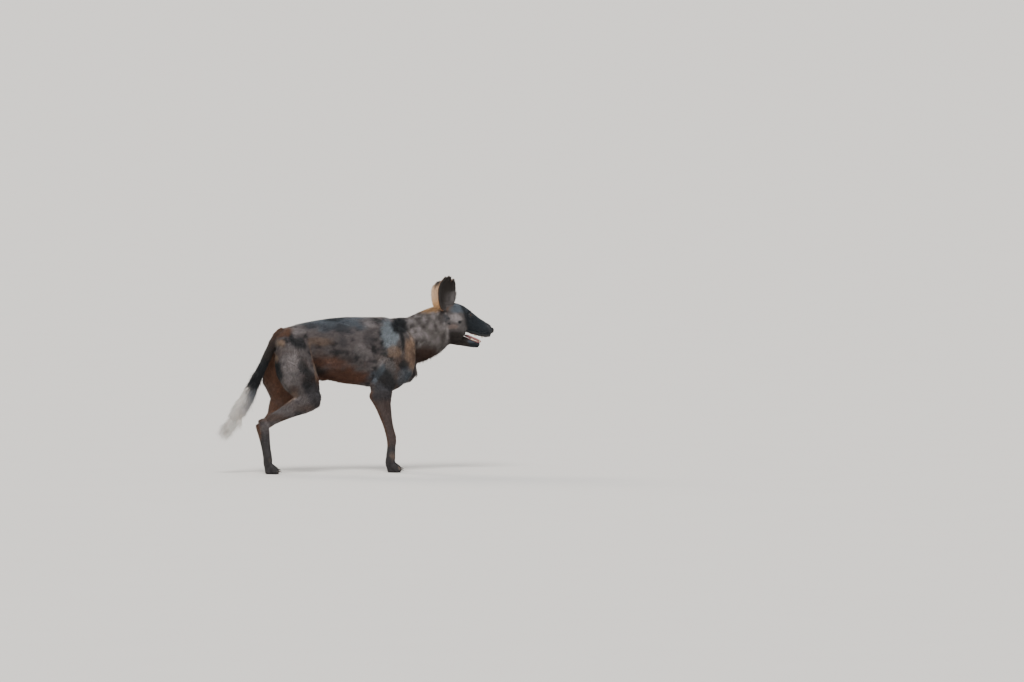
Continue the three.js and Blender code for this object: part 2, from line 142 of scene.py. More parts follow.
def linear(hex_colour: str) -> tuple[float, float, float]:
    """Turns an sRGB hex colour into linear light.

    Args:
        hex_colour: Six hex digits, with or without a leading #.

    Returns:
        Red, green and blue from 0 to 1.
    """
    digits = hex_colour.lstrip("#")
    parts = [int(digits[i : i + 2], 16) / 255 for i in (0, 2, 4)]
    return tuple(c / 12.92 if c <= 0.04045 else ((c + 0.055) / 1.055) ** 2.4 for c in parts)


def blend_step(low: float, high: float, value: np.ndarray) -> np.ndarray:
    """Rises smoothly from 0 at low to 1 at high."""
    share = np.clip((value - low) / (high - low), 0.0, 1.0)
    return share * share * (3.0 - 2.0 * share)


def unit(vectors: np.ndarray) -> np.ndarray:
    """Scales every row to length one."""
    return vectors / np.maximum(np.linalg.norm(vectors, axis=-1, keepdims=True), 1e-9)


class Tone(Enum):
    """The coat's colours, as sRGB hex; some carry painted light or shade, noted at each."""

    BLACK = "#191c20"
    CHARCOAL = "#36363a"
    SOOT = "#2f2926"
    BELLY = "#62402f"
    GREY = "#5e5958"
    FLANK = "#676060"
    WARM = "#57443a"
    # SLATE and PALE_SLATE: grey coat with a painted blue cast of sky light in it.
    SLATE = "#565f68"
    PALE_SLATE = "#7c848b"
    GRIZZLE = "#6f6967"
    TAN = "#87705f"
    # GOLD: yellow-brown coat, used with painted golden rim light mixed in on the nape and the ears.
    GOLD = "#b08654"
    RUST = "#6b4833"
    RUSSET = "#7d5440"
    UMBER = "#524542"
    BROWN = "#46332b"
    PALE = "#948d8d"
    ROSE = "#8c7870"
    CREAM = "#a98f78"
    WHITE = "#fff7ef"
    # EAR_BACK: the ear's tan back with a painted glow of backlight shining through it.
    EAR_BACK = "#c4a283"
    # The white brush with painted shade on its front side.
    SILVER = "#a9a9b0"
    # MUZZLE: black with a painted blue sheen of sky light.
    MUZZLE = "#252b31"
    LEATHER = "#121113"
    # Painted shade deep in the nostrils.
    PIT = "#050404"
    GUM = "#7e4a4c"
    PALATE = "#5e3638"

    @property
    def rgb(self) -> np.ndarray:
        """The colour in linear light."""
        return np.array(linear(self.value))


# Lays a tone over the coat, as strongly at each vertex as the second value says.
Tint = Callable[[Tone, np.ndarray], None]


class Flank(Enum):
    """Which side of the animal a marking is on."""

    RIGHT = -1
    LEFT = 1
    BOTH = 0


@dataclass(frozen=True)
class Grain:
    """Smooth seeded noise in space, whose blobs are about `size` metres across."""

    seed: int
    size: float
    stretch: tuple[float, float, float] = (1.0, 1.0, 1.0)

    def __call__(self, points: np.ndarray) -> np.ndarray:
        """Gives the noise at each point, from about -1 to 1."""
        side = 32
        lattice = np.random.default_rng(self.seed).uniform(-1, 1, (side, side, side))
        cell = points / (self.size * np.array(self.stretch))
        base = np.floor(cell).astype(int)
        part = cell - base
        part = part * part * (3 - 2 * part)
        total = np.zeros(len(points))
        for corner in product((0, 1), repeat=3):
            index = (base + np.array(corner)) % side
            weight = np.prod(np.where(np.array(corner) == 1, part, 1 - part), axis=1)
            total += weight * lattice[index[:, 0], index[:, 1], index[:, 2]]
        return total


@dataclass(frozen=True)
class Patch:
    """A patch of colour on the side of the body. Its place and half sizes are in millimetres, in X and Z."""

    name: str
    tone: Tone
    x: float
    z: float
    reach: tuple[float, float]
    turn: float = 0.0
    side: Flank = Flank.RIGHT
    strength: float = 1.0
    edge: float = 0.3
    ragged: float = 0.35

    def cover(self, points: np.ndarray, warp: np.ndarray) -> np.ndarray:
        """How much of the patch's colour each point takes.

        Args:
            points: Places on the skin, in metres.
            warp: Noise that makes the edge ragged.

        Returns:
            A share from 0 to 1 for each point.
        """
        angle = math.radians(self.turn)
        ahead = points[:, 0] / MM - self.x
        above = points[:, 2] / MM - self.z
        along = (ahead * math.cos(angle) + above * math.sin(angle)) / self.reach[0]
        across = (above * math.cos(angle) - ahead * math.sin(angle)) / self.reach[1]
        distance = np.hypot(along, across) + warp * self.ragged
        share = self.strength * (1 - blend_step(1 - self.edge, 1 + self.edge, distance))
        if self.side is not Flank.BOTH:
            share = share * blend_step(-6 * MM, 6 * MM, points[:, 1] * self.side.value)
        return share


@dataclass(frozen=True)
class Form:
    """A muscle, bone or hollow that raises or sinks the skin by `rise` millimetres."""

    name: str
    x: float
    z: float
    reach: tuple[float, float]
    rise: float
    turn: float = 0.0
    side: Flank = Flank.BOTH

    def lift(self, points: np.ndarray, normals: np.ndarray) -> np.ndarray:
        """How far each point moves along its normal, in metres."""
        angle = math.radians(self.turn)
        ahead = points[:, 0] / MM - self.x
        above = points[:, 2] / MM - self.z
        along = (ahead * math.cos(angle) + above * math.sin(angle)) / self.reach[0]
        across = (above * math.cos(angle) - ahead * math.sin(angle)) / self.reach[1]
        height = self.rise * MM * np.exp(-(along**2 + across**2) * 1.4)
        outward = normals[:, 1] * np.sign(points[:, 1])
        height *= blend_step(-0.1, 0.5, outward)
        if self.side is not Flank.BOTH:
            height *= blend_step(-6 * MM, 6 * MM, points[:, 1] * self.side.value)
        return height


def add_node(
    tree: bpy.types.NodeTree, kind: str, settings: dict | None = None, links: dict | None = None
) -> bpy.types.Node:
    """Adds one shader node.

    Args:
        tree: The material's node tree.
        kind: The node's type name.
        settings: Values for its attributes, or for its input sockets where the name is a socket's.
        links: Input socket name or number to the output socket that feeds it.

    Returns:
        The new node.
    """
    node = tree.nodes.new(kind)
    for name, value in (settings or {}).items():
        if isinstance(name, str) and hasattr(node, name):
            setattr(node, name, value)
        else:
            node.inputs[name].default_value = value
    for name, source in (links or {}).items():
        tree.links.new(source, node.inputs[name])
    return node


def new_material(name: str) -> tuple[bpy.types.Material, bpy.types.NodeTree]:
    """Makes an empty node material and returns it with its tree."""
    material = bpy.data.materials.new(name)
    material.use_nodes = True
    material.node_tree.nodes.clear()
    return material, material.node_tree


def finish_material(tree: bpy.types.NodeTree, settings: dict, links: dict) -> None:
    """Adds the surface shader with its settings and links, and the output."""
    shader = add_node(tree, "ShaderNodeBsdfPrincipled", settings, links)
    add_node(tree, "ShaderNodeOutputMaterial", {}, {"Surface": shader.outputs["BSDF"]})


@dataclass(frozen=True)
class CoatFinish:
    """Short coarse dog hair: dull, a little silky where the light grazes it."""

    name: str = "dog_hair_mottled"
    roughness: float = 0.52
    sheen: float = 0.07
    fleck: float = 3.0 * MM

    def material(self) -> bpy.types.Material:
        """Builds the hair's material from the coat's own colours."""
        made, tree = new_material(self.name)
        tint = add_node(tree, "ShaderNodeAttribute", {"attribute_name": "marking"})
        place = add_node(tree, "ShaderNodeTexCoord")
        flecks = add_node(
            tree,
            "ShaderNodeTexNoise",
            {"Scale": 1 / self.fleck, "Detail": 2.0},
            {"Vector": place.outputs["Object"]},
        )
        spread = add_node(
            tree,
            "ShaderNodeMapRange",
            {"From Min": 0.3, "From Max": 0.7, "To Min": 0.78, "To Max": 1.22},
            {"Value": flecks.outputs["Fac"]},
        )
        mixed = add_node(
            tree,
            "ShaderNodeVectorMath",
            {"operation": "SCALE"},
            {0: tint.outputs["Color"], "Scale": spread.outputs["Result"]},
        )
        settings = {
            "Roughness": self.roughness,
            "Specular IOR Level": 0.28,
            "Sheen Weight": self.sheen,
            "Sheen Roughness": 0.4,
        }
        finish_material(tree, settings, {"Base Color": mixed.outputs["Vector"]})
        return made


@dataclass(frozen=True)
class SkinFinish:
    """The hide under the hair: broken and matte with fine short fur, and moist on the nose and lips."""

    name: str = "dog_hide_short_fur"
    hair: float = 1.3 * MM
    pebble: float = 1.6 * MM

    def material(self) -> bpy.types.Material:
        """Builds the hide's material from its colours and its moist places."""
        made, tree = new_material(self.name)
        tint = add_node(tree, "ShaderNodeAttribute", {"attribute_name": "marking"})
        moist = add_node(tree, "ShaderNodeAttribute", {"attribute_name": "moist"})
        place = add_node(tree, "ShaderNodeTexCoord")
        fur = add_node(
            tree,
            "ShaderNodeTexNoise",
            {"Scale": 1 / self.hair, "Detail": 3.0},
            {"Vector": place.outputs["Object"]},
        )
        grain = add_node(
            tree,
            "ShaderNodeTexVoronoi",
            {"Scale": 1 / self.pebble},
            {"Vector": place.outputs["Object"]},
        )
        height = add_node(
            tree,
            "ShaderNodeMix",
            {"data_type": "FLOAT"},
            {0: moist.outputs["Fac"], 2: fur.outputs["Fac"], 3: grain.outputs["Distance"]},
        )
        bump = add_node(
            tree,
            "ShaderNodeBump",
            {"Strength": 0.4, "Distance": 0.3 * MM},
            {"Height": height.outputs[0]},
        )
        spread = add_node(
            tree,
            "ShaderNodeMapRange",
            {"From Min": 0.3, "From Max": 0.7, "To Min": 0.75, "To Max": 1.15},
            {"Value": fur.outputs["Fac"]},
        )
        mixed = add_node(
            tree,
            "ShaderNodeVectorMath",
            {"operation": "SCALE"},
            {0: tint.outputs["Color"], "Scale": spread.outputs["Result"]},
        )
        dull = add_node(
            tree,
            "ShaderNodeMapRange",
            {"To Min": 0.74, "To Max": 0.4},
            {"Value": moist.outputs["Fac"]},
        )
        finish_material(
            tree,
            {"Specular IOR Level": 0.3},
            {
                "Base Color": mixed.outputs["Vector"],
                "Roughness": dull.outputs["Result"],
                "Normal": bump.outputs["Normal"],
            },
        )
        return made


@dataclass(frozen=True)
class EyeFinish:
    """A wet dark amber eye with a round pupil, under a clear glossy surface."""

    name: str = "wet_eye"
    pupil: float = 0.28
    iris: float = 0.66

    def material(self) -> bpy.types.Material:
        """Builds the eye's rings from its distance attribute, 0 at the pupil's middle and 1 at the side."""
        made, tree = new_material(self.name)
        ring = add_node(tree, "ShaderNodeAttribute", {"attribute_name": "ring"})
        ramp = add_node(tree, "ShaderNodeValToRGB", {}, {"Fac": ring.outputs["Fac"]})
        stops = [
            (0.0, "#050404"),
            (self.pupil, "#060505"),
            (self.pupil + 0.04, "#2c1a0c"),
            (self.iris - 0.12, "#41260f"),
            (self.iris - 0.02, "#140b06"),
            (self.iris + 0.05, "#1c1411"),
            (1.0, "#3a2e2a"),
        ]
        elements = ramp.color_ramp.elements
        while len(elements) < len(stops):
            elements.new(0.5)
        for element, (position, tone) in zip(elements, stops):
            element.position = position
            element.color = (*linear(tone), 1.0)
        finish_material(
            tree,
            {"Roughness": 0.3, "Specular IOR Level": 0.2, "Coat Weight": 0.4, "Coat Roughness": 0.03},
            {"Base Color": ramp.outputs["Color"]},
        )
        return made


@dataclass(frozen=True)
class MottledFinish:
    """A smooth living or horny surface whose colour drifts between two tones."""

    name: str
    light: str
    dark: str
    scale: float
    roughness: float
    bump: float = 0.1 * MM
    subsurface: float = 0.0

    def material(self) -> bpy.types.Material:
        """Builds the two-tone material."""
        made, tree = new_material(self.name)
        place = add_node(tree, "ShaderNodeTexCoord")
        noise = add_node(
            tree,
            "ShaderNodeTexNoise",
            {"Scale": 1 / self.scale, "Detail": 3.0},
            {"Vector": place.outputs["Object"]},
        )
        # The dark tone goes where the bump is low: on the tongue this is painted shade in its pits.
        tint = add_node(
            tree,
            "ShaderNodeMix",
            {"data_type": "RGBA", 6: (*linear(self.dark), 1), 7: (*linear(self.light), 1)},
            {0: noise.outputs["Fac"]},
        )
        bump = add_node(
            tree,
            "ShaderNodeBump",
            {"Strength": 0.4, "Distance": self.bump},
            {"Height": noise.outputs["Fac"]},
        )
        finish_material(
            tree,
            {
                "Roughness": self.roughness,
                "Subsurface Weight": self.subsurface,
                "Subsurface Scale": 4 * MM,
            },
            {"Base Color": tint.outputs[2], "Normal": bump.outputs["Normal"]},
        )
        return made


# Moist muscle: pink, with painted shade darkening its pits.
TONGUE = MottledFinish("tongue_moist", "#b57f80", "#8a5257", 3 * MM, 0.48, bump=0.3 * MM, subsurface=0.1)
# Enamel: warm white, drifting to a slightly stained tone.
TOOTH = MottledFinish("tooth_enamel", "#ddd3bb", "#c2b293", 4 * MM, 0.3, bump=0.02 * MM)
# Gum: mottled pink and black.
GUM = MottledFinish("gum_moist", "#9c6163", "#3a2527", 6 * MM, 0.35)
# Horn: near black, worn paler in streaks.
CLAW = MottledFinish("claw_horn", "#4a423a", "#1d1916", 3 * MM, 0.42)
# Painted studio floor: pale and even.
FLOOR = MottledFinish("studio_floor_paint", "#d9d6d1", "#d6d3ce", 400 * MM, 0.9, bump=0.01 * MM)


def fill_mesh(mesh: bpy.types.Mesh, points: np.ndarray, loops: np.ndarray, sizes: np.ndarray) -> None:
    """Fills a mesh from arrays.

    Args:
        mesh: An empty mesh.
        points: One row for each vertex.
        loops: The vertices of all faces, one face after the other.
        sizes: How many vertices each face has.
    """
    mesh.vertices.add(len(points))
    mesh.vertices.foreach_set("co", points.astype(np.float32).ravel())
    mesh.loops.add(len(loops))
    mesh.loops.foreach_set("vertex_index", loops.astype(np.int32))
    mesh.polygons.add(len(sizes))
    starts = np.concatenate(([0], np.cumsum(sizes)[:-1]))
    mesh.polygons.foreach_set("loop_start", starts.astype(np.int32))
    mesh.polygons.foreach_set("use_smooth", np.ones(len(sizes), bool))
    mesh.update(calc_edges=True)


def set_colours(mesh: bpy.types.Mesh, name: str, colours: np.ndarray) -> None:
    """Stores one linear colour for each vertex."""
    layer = mesh.attributes.new(name, "FLOAT_COLOR", "POINT")
    four = np.concatenate([colours, np.ones((len(colours), 1))], axis=1)
    layer.data.foreach_set("color", four.astype(np.float32).ravel())


def set_values(mesh: bpy.types.Mesh, name: str, values: np.ndarray) -> None:
    """Stores one number for each vertex."""
    layer = mesh.attributes.new(name, "FLOAT", "POINT")
    layer.data.foreach_set("value", values.astype(np.float32))


def place_piece(
    name: str, mesh: bpy.types.Mesh, material: bpy.types.Material, nodes: list[str]
) -> bpy.types.Object:
    """Shows a finished mesh as a piece of the object.

    Args:
        name: The piece's name.
        mesh: Its mesh, in the object's frame.
        material: Its finish.
        nodes: The CAD nodes that it stands for.

    Returns:
        The new object.
    """
    mesh.materials.append(material)
    piece = bpy.data.objects.new(name, mesh)
    bpy.context.scene.collection.objects.link(piece)
    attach(piece, BODY)
    if nodes:
        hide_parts(*nodes)
    LOG.info("%s: %d faces", name, len(mesh.polygons))
    return piece


def node_shape(name: str) -> tuple[np.ndarray, np.ndarray]:
    """The merged vertices and triangles of a CAD node."""
    shape = bmesh.new()
    shape.from_mesh(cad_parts[name].data)
    bmesh.ops.remove_doubles(shape, verts=shape.verts, dist=1e-6)
    bmesh.ops.triangulate(shape, faces=shape.faces)
    shape.verts.ensure_lookup_table()
    points = np.array([v.co for v in shape.verts], float)
    shape.verts.index_update()
    faces = np.array([[v.index for v in f.verts] for f in shape.faces], int)
    shape.free()
    return points, faces


def ellipsoid(middle: Triple, reach: Triple) -> tuple[np.ndarray, np.ndarray]:
    """The vertices and triangles of an ellipsoid given in millimetres."""
    shape = bmesh.new()
    bmesh.ops.create_icosphere(shape, subdivisions=3, radius=1.0)
    points = np.array([v.co for v in shape.verts]) * np.array(reach) + np.array(middle)
    shape.verts.index_update()
    faces = np.array([[v.index for v in f.verts] for f in shape.faces], int)
    shape.free()
    return points * MM, faces


def vertex_normals(mesh: bpy.types.Mesh) -> np.ndarray:
    """The mesh's vertex normals as rows."""
    values = np.empty(len(mesh.vertices) * 3, np.float32)
    mesh.vertex_normals.foreach_get("vector", values)
    return values.reshape(-1, 3).astype(float)


def vertex_points(mesh: bpy.types.Mesh) -> np.ndarray:
    """The mesh's vertices as rows."""
    values = np.empty(len(mesh.vertices) * 3, np.float32)
    mesh.vertices.foreach_get("co", values)
    return values.reshape(-1, 3).astype(float)


def mesh_edges(mesh: bpy.types.Mesh) -> np.ndarray:
    """The mesh's edges as pairs of vertices."""
    values = np.empty(len(mesh.edges) * 2, np.int32)
    mesh.edges.foreach_get("vertices", values)
    return values.reshape(-1, 2)


def relax(values: np.ndarray, edges: np.ndarray, weight: np.ndarray, times: int) -> np.ndarray:
    """Spreads values between neighbouring vertices.

    Args:
        values: One row for each vertex.
        edges: Pairs of neighbours.
        weight: How much each vertex moves towards its neighbours' mean at each step.
        times: The number of steps.

    Returns:
        The smoothed rows.
    """
    count = len(values)
    neighbours = np.maximum(np.bincount(edges.ravel(), minlength=count), 1)
    smoothed = values.astype(float).copy()
    for _ in range(times):
        mean = np.empty_like(smoothed)
        for column in range(smoothed.shape[1]):
            part = smoothed[:, column]
            mean[:, column] = np.bincount(edges[:, 0], part[edges[:, 1]], count)
            mean[:, column] += np.bincount(edges[:, 1], part[edges[:, 0]], count)
        mean /= neighbours[:, None]
        smoothed += weight[:, None] * (mean - smoothed)
    return smoothed


def fair(
    points: np.ndarray, edges: np.ndarray, weight: np.ndarray, firm: np.ndarray, times: int
) -> np.ndarray:
    """Evens out the small bumps of a surface.

    Args:
        points: One row for each vertex.
        edges: Pairs of neighbours.
        weight: How strongly each vertex is evened out.
        firm: How much of its thickness it gets back after each step.
        times: The number of steps.

    Returns:
        The evened points.
    """
    # Slightly more than one step back, so that the surface neither shrinks nor swells.
    back = -1.04
    for _ in range(times):
        points = relax(points, edges, weight, 1)
        points = relax(points, edges, back * weight * firm, 1)
    return points


def with_modifier(mesh: bpy.types.Mesh, kind: str, settings: dict) -> bpy.types.Mesh:
    """Runs one modifier on a mesh and returns the new mesh.

    Args:
        mesh: The mesh to change. It is removed.
        kind: The modifier's type name.
        settings: Values for the modifier's attributes.

    Returns:
        The changed mesh.
    """
    holder = bpy.data.objects.new("holder", mesh)
    bpy.context.scene.collection.objects.link(holder)
    modifier = holder.modifiers.new(kind.lower(), kind)
    for name, value in settings.items():
        setattr(modifier, name, value)
    graph = bpy.context.evaluated_depsgraph_get()
    made = bpy.data.meshes.new_from_object(holder.evaluated_get(graph), depsgraph=graph)
    bpy.data.objects.remove(holder)
    bpy.data.meshes.remove(mesh)
    return made


class Spine:
    """The middle line of a long CAD node, from one end of its chord to the other."""

    def __init__(self, node: str, spread: float = 16 * MM) -> None:
        """Reads the node's vertices. `spread` is how far along the line each middle looks."""
        self.points, self.faces = node_shape(node)
        self.spread = spread
        top = self.points[self.points[:, 2].argmax()]
        low = self.points[self.points[:, 2].argmin()]
        self.start = top
        self.length = float(np.linalg.norm(low - top))
        self.chord = (low - top) / self.length

    def share(self, points: np.ndarray) -> np.ndarray:
        """How far along the chord each point lies, from 0 at the top to 1 at the low end."""
        return (points - self.start) @ self.chord / self.length

    def middle(self, shares: np.ndarray, blur: float = 1.0) -> np.ndarray:
        """The line's point at each share, taken from a stretch that `blur` makes longer."""
        known = self.share(self.points)
        gap = (shares[:, None] - known[None, :]) * self.length / (self.spread * blur)
        weight = np.exp(-(gap**2))
        return weight @ self.points / weight.sum(1, keepdims=True)

    def heading(self, shares: np.ndarray) -> np.ndarray:
        """The line's direction at each share, down towards its tip."""
        step, blur = 0.09, 2.5
        return unit(self.middle(shares + step, blur) - self.middle(shares - step, blur))


@dataclass
class Markings:
    """The coat's pattern, worked out at any place on the skin."""

    patches: list[Patch] = field(default_factory=list)

    def __post_init__(self) -> None:
        """Sets the patches, first the right side's as seen, then a like but different left side."""
        black, charcoal, soot, slate = Tone.BLACK, Tone.CHARCOAL, Tone.SOOT, Tone.SLATE
        tan, cream, pale = Tone.TAN, Tone.CREAM, Tone.PALE
        both, left = Flank.BOTH, Flank.LEFT
        ash, warm = Tone.PALE_SLATE, Tone.WARM
        # The SLATE and PALE_SLATE patches here (back, shoulder pale, arm grey, breast) are grey coat with a
        # painted blue cast of sky light.
        self.patches = [
            Patch("back", slate, -98, 628, (132, 34), side=both, strength=0.85, ragged=0.5),
            Patch("spine", black, -120, 652, (90, 14), side=both, strength=0.8, ragged=0.6),
            Patch("back dark", charcoal, -70, 604, (60, 16), strength=0.75, ragged=0.8),
            Patch("back dark rear", charcoal, -190, 618, (44, 12), strength=0.7, ragged=0.8),
            Patch("saddle pale", pale, 62, 628, (34, 17), strength=0.6, ragged=0.6),
            Patch("saddle line", black, 84, 634, (12, 18), turn=20, strength=0.8, ragged=0.5),
            Patch("flank warm", tan, -160, 556, (66, 17), strength=0.5, ragged=0.7),
            Patch("flank mottle", charcoal, -66, 556, (22, 36), turn=15, strength=0.6, ragged=0.8),
            Patch("flank pale", pale, 10, 510, (36, 28), strength=0.35, ragged=0.8),
            Patch("rib mottle", charcoal, 46, 556, (26, 22), strength=0.5, ragged=0.8),
            Patch("low flank", Tone.RUSSET, -110, 460, (92, 22), turn=-4, strength=0.5, edge=0.5, ragged=0.8),
            Patch("low flank dark", charcoal, -40, 490, (50, 12), turn=-4, strength=0.5, ragged=0.9),
            Patch("belly", Tone.BELLY, -68, 398, (150, 36), side=both, strength=0.85),
            Patch("belly dark", soot, -150, 424, (34, 14), turn=-8, side=both, strength=0.7, ragged=0.5),
            Patch("shoulder pale", ash, 128, 578, (36, 58), turn=-6, ragged=0.4),
            Patch("shoulder line", black, 96, 562, (7, 36), turn=6, ragged=0.4),
            Patch("withers", black, 184, 616, (40, 34), side=both),
            Patch("blade line", black, 181, 556, (9, 42), turn=4, strength=0.85, ragged=0.4),
            Patch("shoulder tan", tan, 219, 512, (30, 68)),
            Patch("blade tan", tan, 140, 513, (30, 26), strength=0.75, ragged=0.5),
            Patch("upper arm", black, 102, 396, (46, 60), turn=35, strength=0.85, ragged=0.5),
            Patch("arm grey", slate, 74, 420, (16, 50), turn=-30, strength=0.6, ragged=0.6),
            Patch("arm spot", black, 181, 457, (22, 20), strength=0.85),
            Patch("elbow dark", charcoal, 92, 340, (62, 36), side=both, strength=0.75, ragged=0.4),
            Patch("arm pale", pale, 86, 467, (10, 34), turn=-45, strength=0.5, ragged=0.7),
            Patch("breast", slate, 188, 404, (40, 34), side=both, strength=0.6, ragged=0.6),
            Patch("hip spot", black, -293, 577, (12, 24), strength=0.85),
            Patch("hip dark", black, -262, 554, (32, 26), strength=0.85, ragged=0.5),
            Patch("hip pale", pale, -252, 597, (32, 14), side=both, strength=0.5, ragged=0.6),
            Patch("thigh", pale, -306, 462, (40, 70), strength=0.4, ragged=0.5),
            Patch("thigh spot", black, -254, 458, (20, 28), strength=0.7, ragged=0.7),
            Patch("thigh front", black, -228, 402, (30, 40), strength=0.8, ragged=0.6),
            Patch("thigh edge", tan, -203, 470, (6, 80), turn=6, strength=0.6, ragged=0.3),
            Patch("thigh tan", cream, -334, 552, (12, 15), strength=0.6, edge=0.5),
            Patch("seat tan", cream, -361, 491, (9, 15), strength=0.8),
            Patch("seat", black, -376, 440, (36, 60), side=both),
            Patch("croup", Tone.RUST, -316, 602, (36, 22), turn=20, side=both, strength=0.8, ragged=0.6),
            Patch("knee", charcoal, -192, 336, (38, 50), side=both, strength=0.75),
            # The calf's tan: partly the coat's own, partly painted golden rim light.
            Patch("calf", tan, -308, 322, (40, 17), turn=28, strength=0.6),
            # The nape's yellow-brown coat, partly painted golden rim light along its top.
            Patch("nape", Tone.GOLD, 300, 692, (95, 20), side=both, strength=0.8),
            Patch("throat", Tone.BROWN, 318, 492, (100, 42), side=both),
            # Painted shadow in the crease where the neck meets the shoulder.
            Patch("collar shadow", soot, 251, 510, (9, 60), turn=-8, strength=0.6),
            Patch("left back", black, -150, 600, (50, 36), side=left, strength=0.85),
            Patch("left saddle", tan, -50, 548, (72, 34), side=left, strength=0.8, ragged=0.5),
            Patch("left rib spot", black, -95, 490, (40, 26), side=left, ragged=0.5),
            Patch("left rib pale", cream, 36, 560, (30, 22), side=left, strength=0.6, ragged=0.5),
            Patch("left low flank", warm, -60, 446, (110, 16), side=left, strength=0.7),
            Patch("left shoulder", black, 122, 560, (44, 54), side=left, ragged=0.5),
            Patch("left shoulder tan", tan, 200, 506, (38, 56), side=left, ragged=0.5),
            Patch("left arm", charcoal, 100, 410, (50, 40), turn=30, side=left),
            Patch("left hip", black, -286, 566, (50, 26), side=left, ragged=0.5),
            Patch("left thigh tan", tan, -306, 486, (40, 30), side=left, strength=0.85, ragged=0.5),
            Patch("left thigh spot", charcoal, -252, 430, (36, 36), side=left, ragged=0.5),
            Patch("left white", Tone.WHITE, 150, 452, (20, 13), side=left, strength=0.55, ragged=0.5),
        ]

    def paint(self, skin: "Skin") -> np.ndarray:
        """Works out the colour of every skin vertex.

        Args:
            skin: The skin with its regions, normals and places.

        Returns:
            Linear colours, one row for each vertex.
        """
        points, share = skin.points, skin.share
        warp = 0.7 * Grain(3, 34 * MM)(points) + 0.45 * Grain(4, 15 * MM)(points)
        bases = {
            Region.TRUNK: Tone.FLANK,
            Region.NECK: Tone.GRIZZLE,
            Region.HEAD: Tone.GREY,
            Region.JAW: Tone.SOOT,
            Region.NOSE: Tone.MUZZLE,
            Region.EAR: Tone.SOOT,
            Region.TAIL: Tone.WHITE,
            Region.UPPER_ARM: Tone.GREY,
            Region.FOREARM: Tone.UMBER,
            Region.THIGH: Tone.FLANK,
            Region.LOWER_LEG: Tone.FLANK,
            Region.PAW: Tone.CHARCOAL,
        }
        colours = share @ np.array([bases[r].rgb for r in Region])

        def tint(tone: Tone, cover: np.ndarray) -> None:
            """Lays one tone over the colours."""
            colours[:] += np.clip(cover, 0, 1)[:, None] * (tone.rgb - colours)

        part = {r: share[:, r.value] for r in Region}
        mottle = Grain(5, 22 * MM, (1.5, 1.0, 0.8))(points) + 0.6 * Grain(6, 9 * MM)(points)
        body = part[Region.TRUNK] + part[Region.THIGH] + part[Region.UPPER_ARM] + part[Region.LOWER_LEG]
        tint(Tone.BLACK, body * blend_step(0.02, 0.6, mottle) * 0.8)
        tint(Tone.GREY, body * blend_step(0.15, 0.7, -mottle) * 0.6)
        warm = blend_step(0.0, 0.6, Grain(12, 40 * MM)(points))
        tint(Tone.WARM, body * warm * blend_step(560 * MM, 470 * MM, points[:, 2]) * 0.7)
        self._neck(skin, tint)
        for patch in self.patches:
            tint(patch.tone, patch.cover(points, warp))
        self._legs(skin, tint, warp)
        self._head(skin, tint, warp)
        self._ears(skin, tint, warp)
        self._tail(skin, tint, warp)
        fine = Grain(7, 5 * MM, (1.6, 1.0, 1.0))(points)
        return np.clip(colours * (1 + 0.2 * fine)[:, None], 0.002, 1)

    def _legs(self, skin: "Skin", tint: Tint, warp: np.ndarray) -> None:
        """Browns the inner sides of the legs, partly their own tan and partly painted warm bounce light,
        gives their rear edges painted rust rim light, and darkens and mottles the paws.
        """
        points, normals, share = skin.points, skin.normals, skin.share
        limb = share[:, [Region.FOREARM.value, Region.LOWER_LEG.value]].sum(1)
        # Rust on the inner sides: partly the legs' own tan, partly painted warm bounce light.
        inner = blend_step(0.1, 0.7, -normals[:, 1] * np.sign(points[:, 1]))
        # Painted rim light: rust on the edges that face backwards, towards a low light from behind.
        rear = blend_step(0.45, 0.95, -normals[:, 0] + 0.25 * warp)
        tint(Tone.RUST, limb * np.maximum(inner * 0.8, rear * 0.5))
        thigh = share[:, Region.THIGH.value]
        tint(Tone.RUST, thigh * inner * 0.8)
        paw = share[:, Region.PAW.value]
        tint(Tone.SOOT, paw * 0.5)
        tint(Tone.TAN, paw * blend_step(0.2, 0.7, warp) * 0.5)
        sole = blend_step(0.5, 0.9, -normals[:, 2]) * blend_step(14 * MM, 6 * MM, points[:, 2])
        tint(Tone.LEATHER, paw * sole)

    def _neck(self, skin: "Skin", tint: Tint) -> None:
        """Grizzles the ruff with pale and dark streaks along its hair."""
        points, share = skin.points, skin.share
        neck = share[:, Region.NECK.value]
        streak = Grain(8, 9 * MM, (1.0, 1.0, 2.2))(points) + 0.5 * Grain(9, 20 * MM)(points)
        upper = blend_step(505 * MM, 560 * MM, points[:, 2])
        tint(Tone.PALE, neck * upper * blend_step(0.05, 0.5, streak))
        tint(Tone.SOOT, neck * blend_step(0.1, 0.6, -streak) * 0.75)

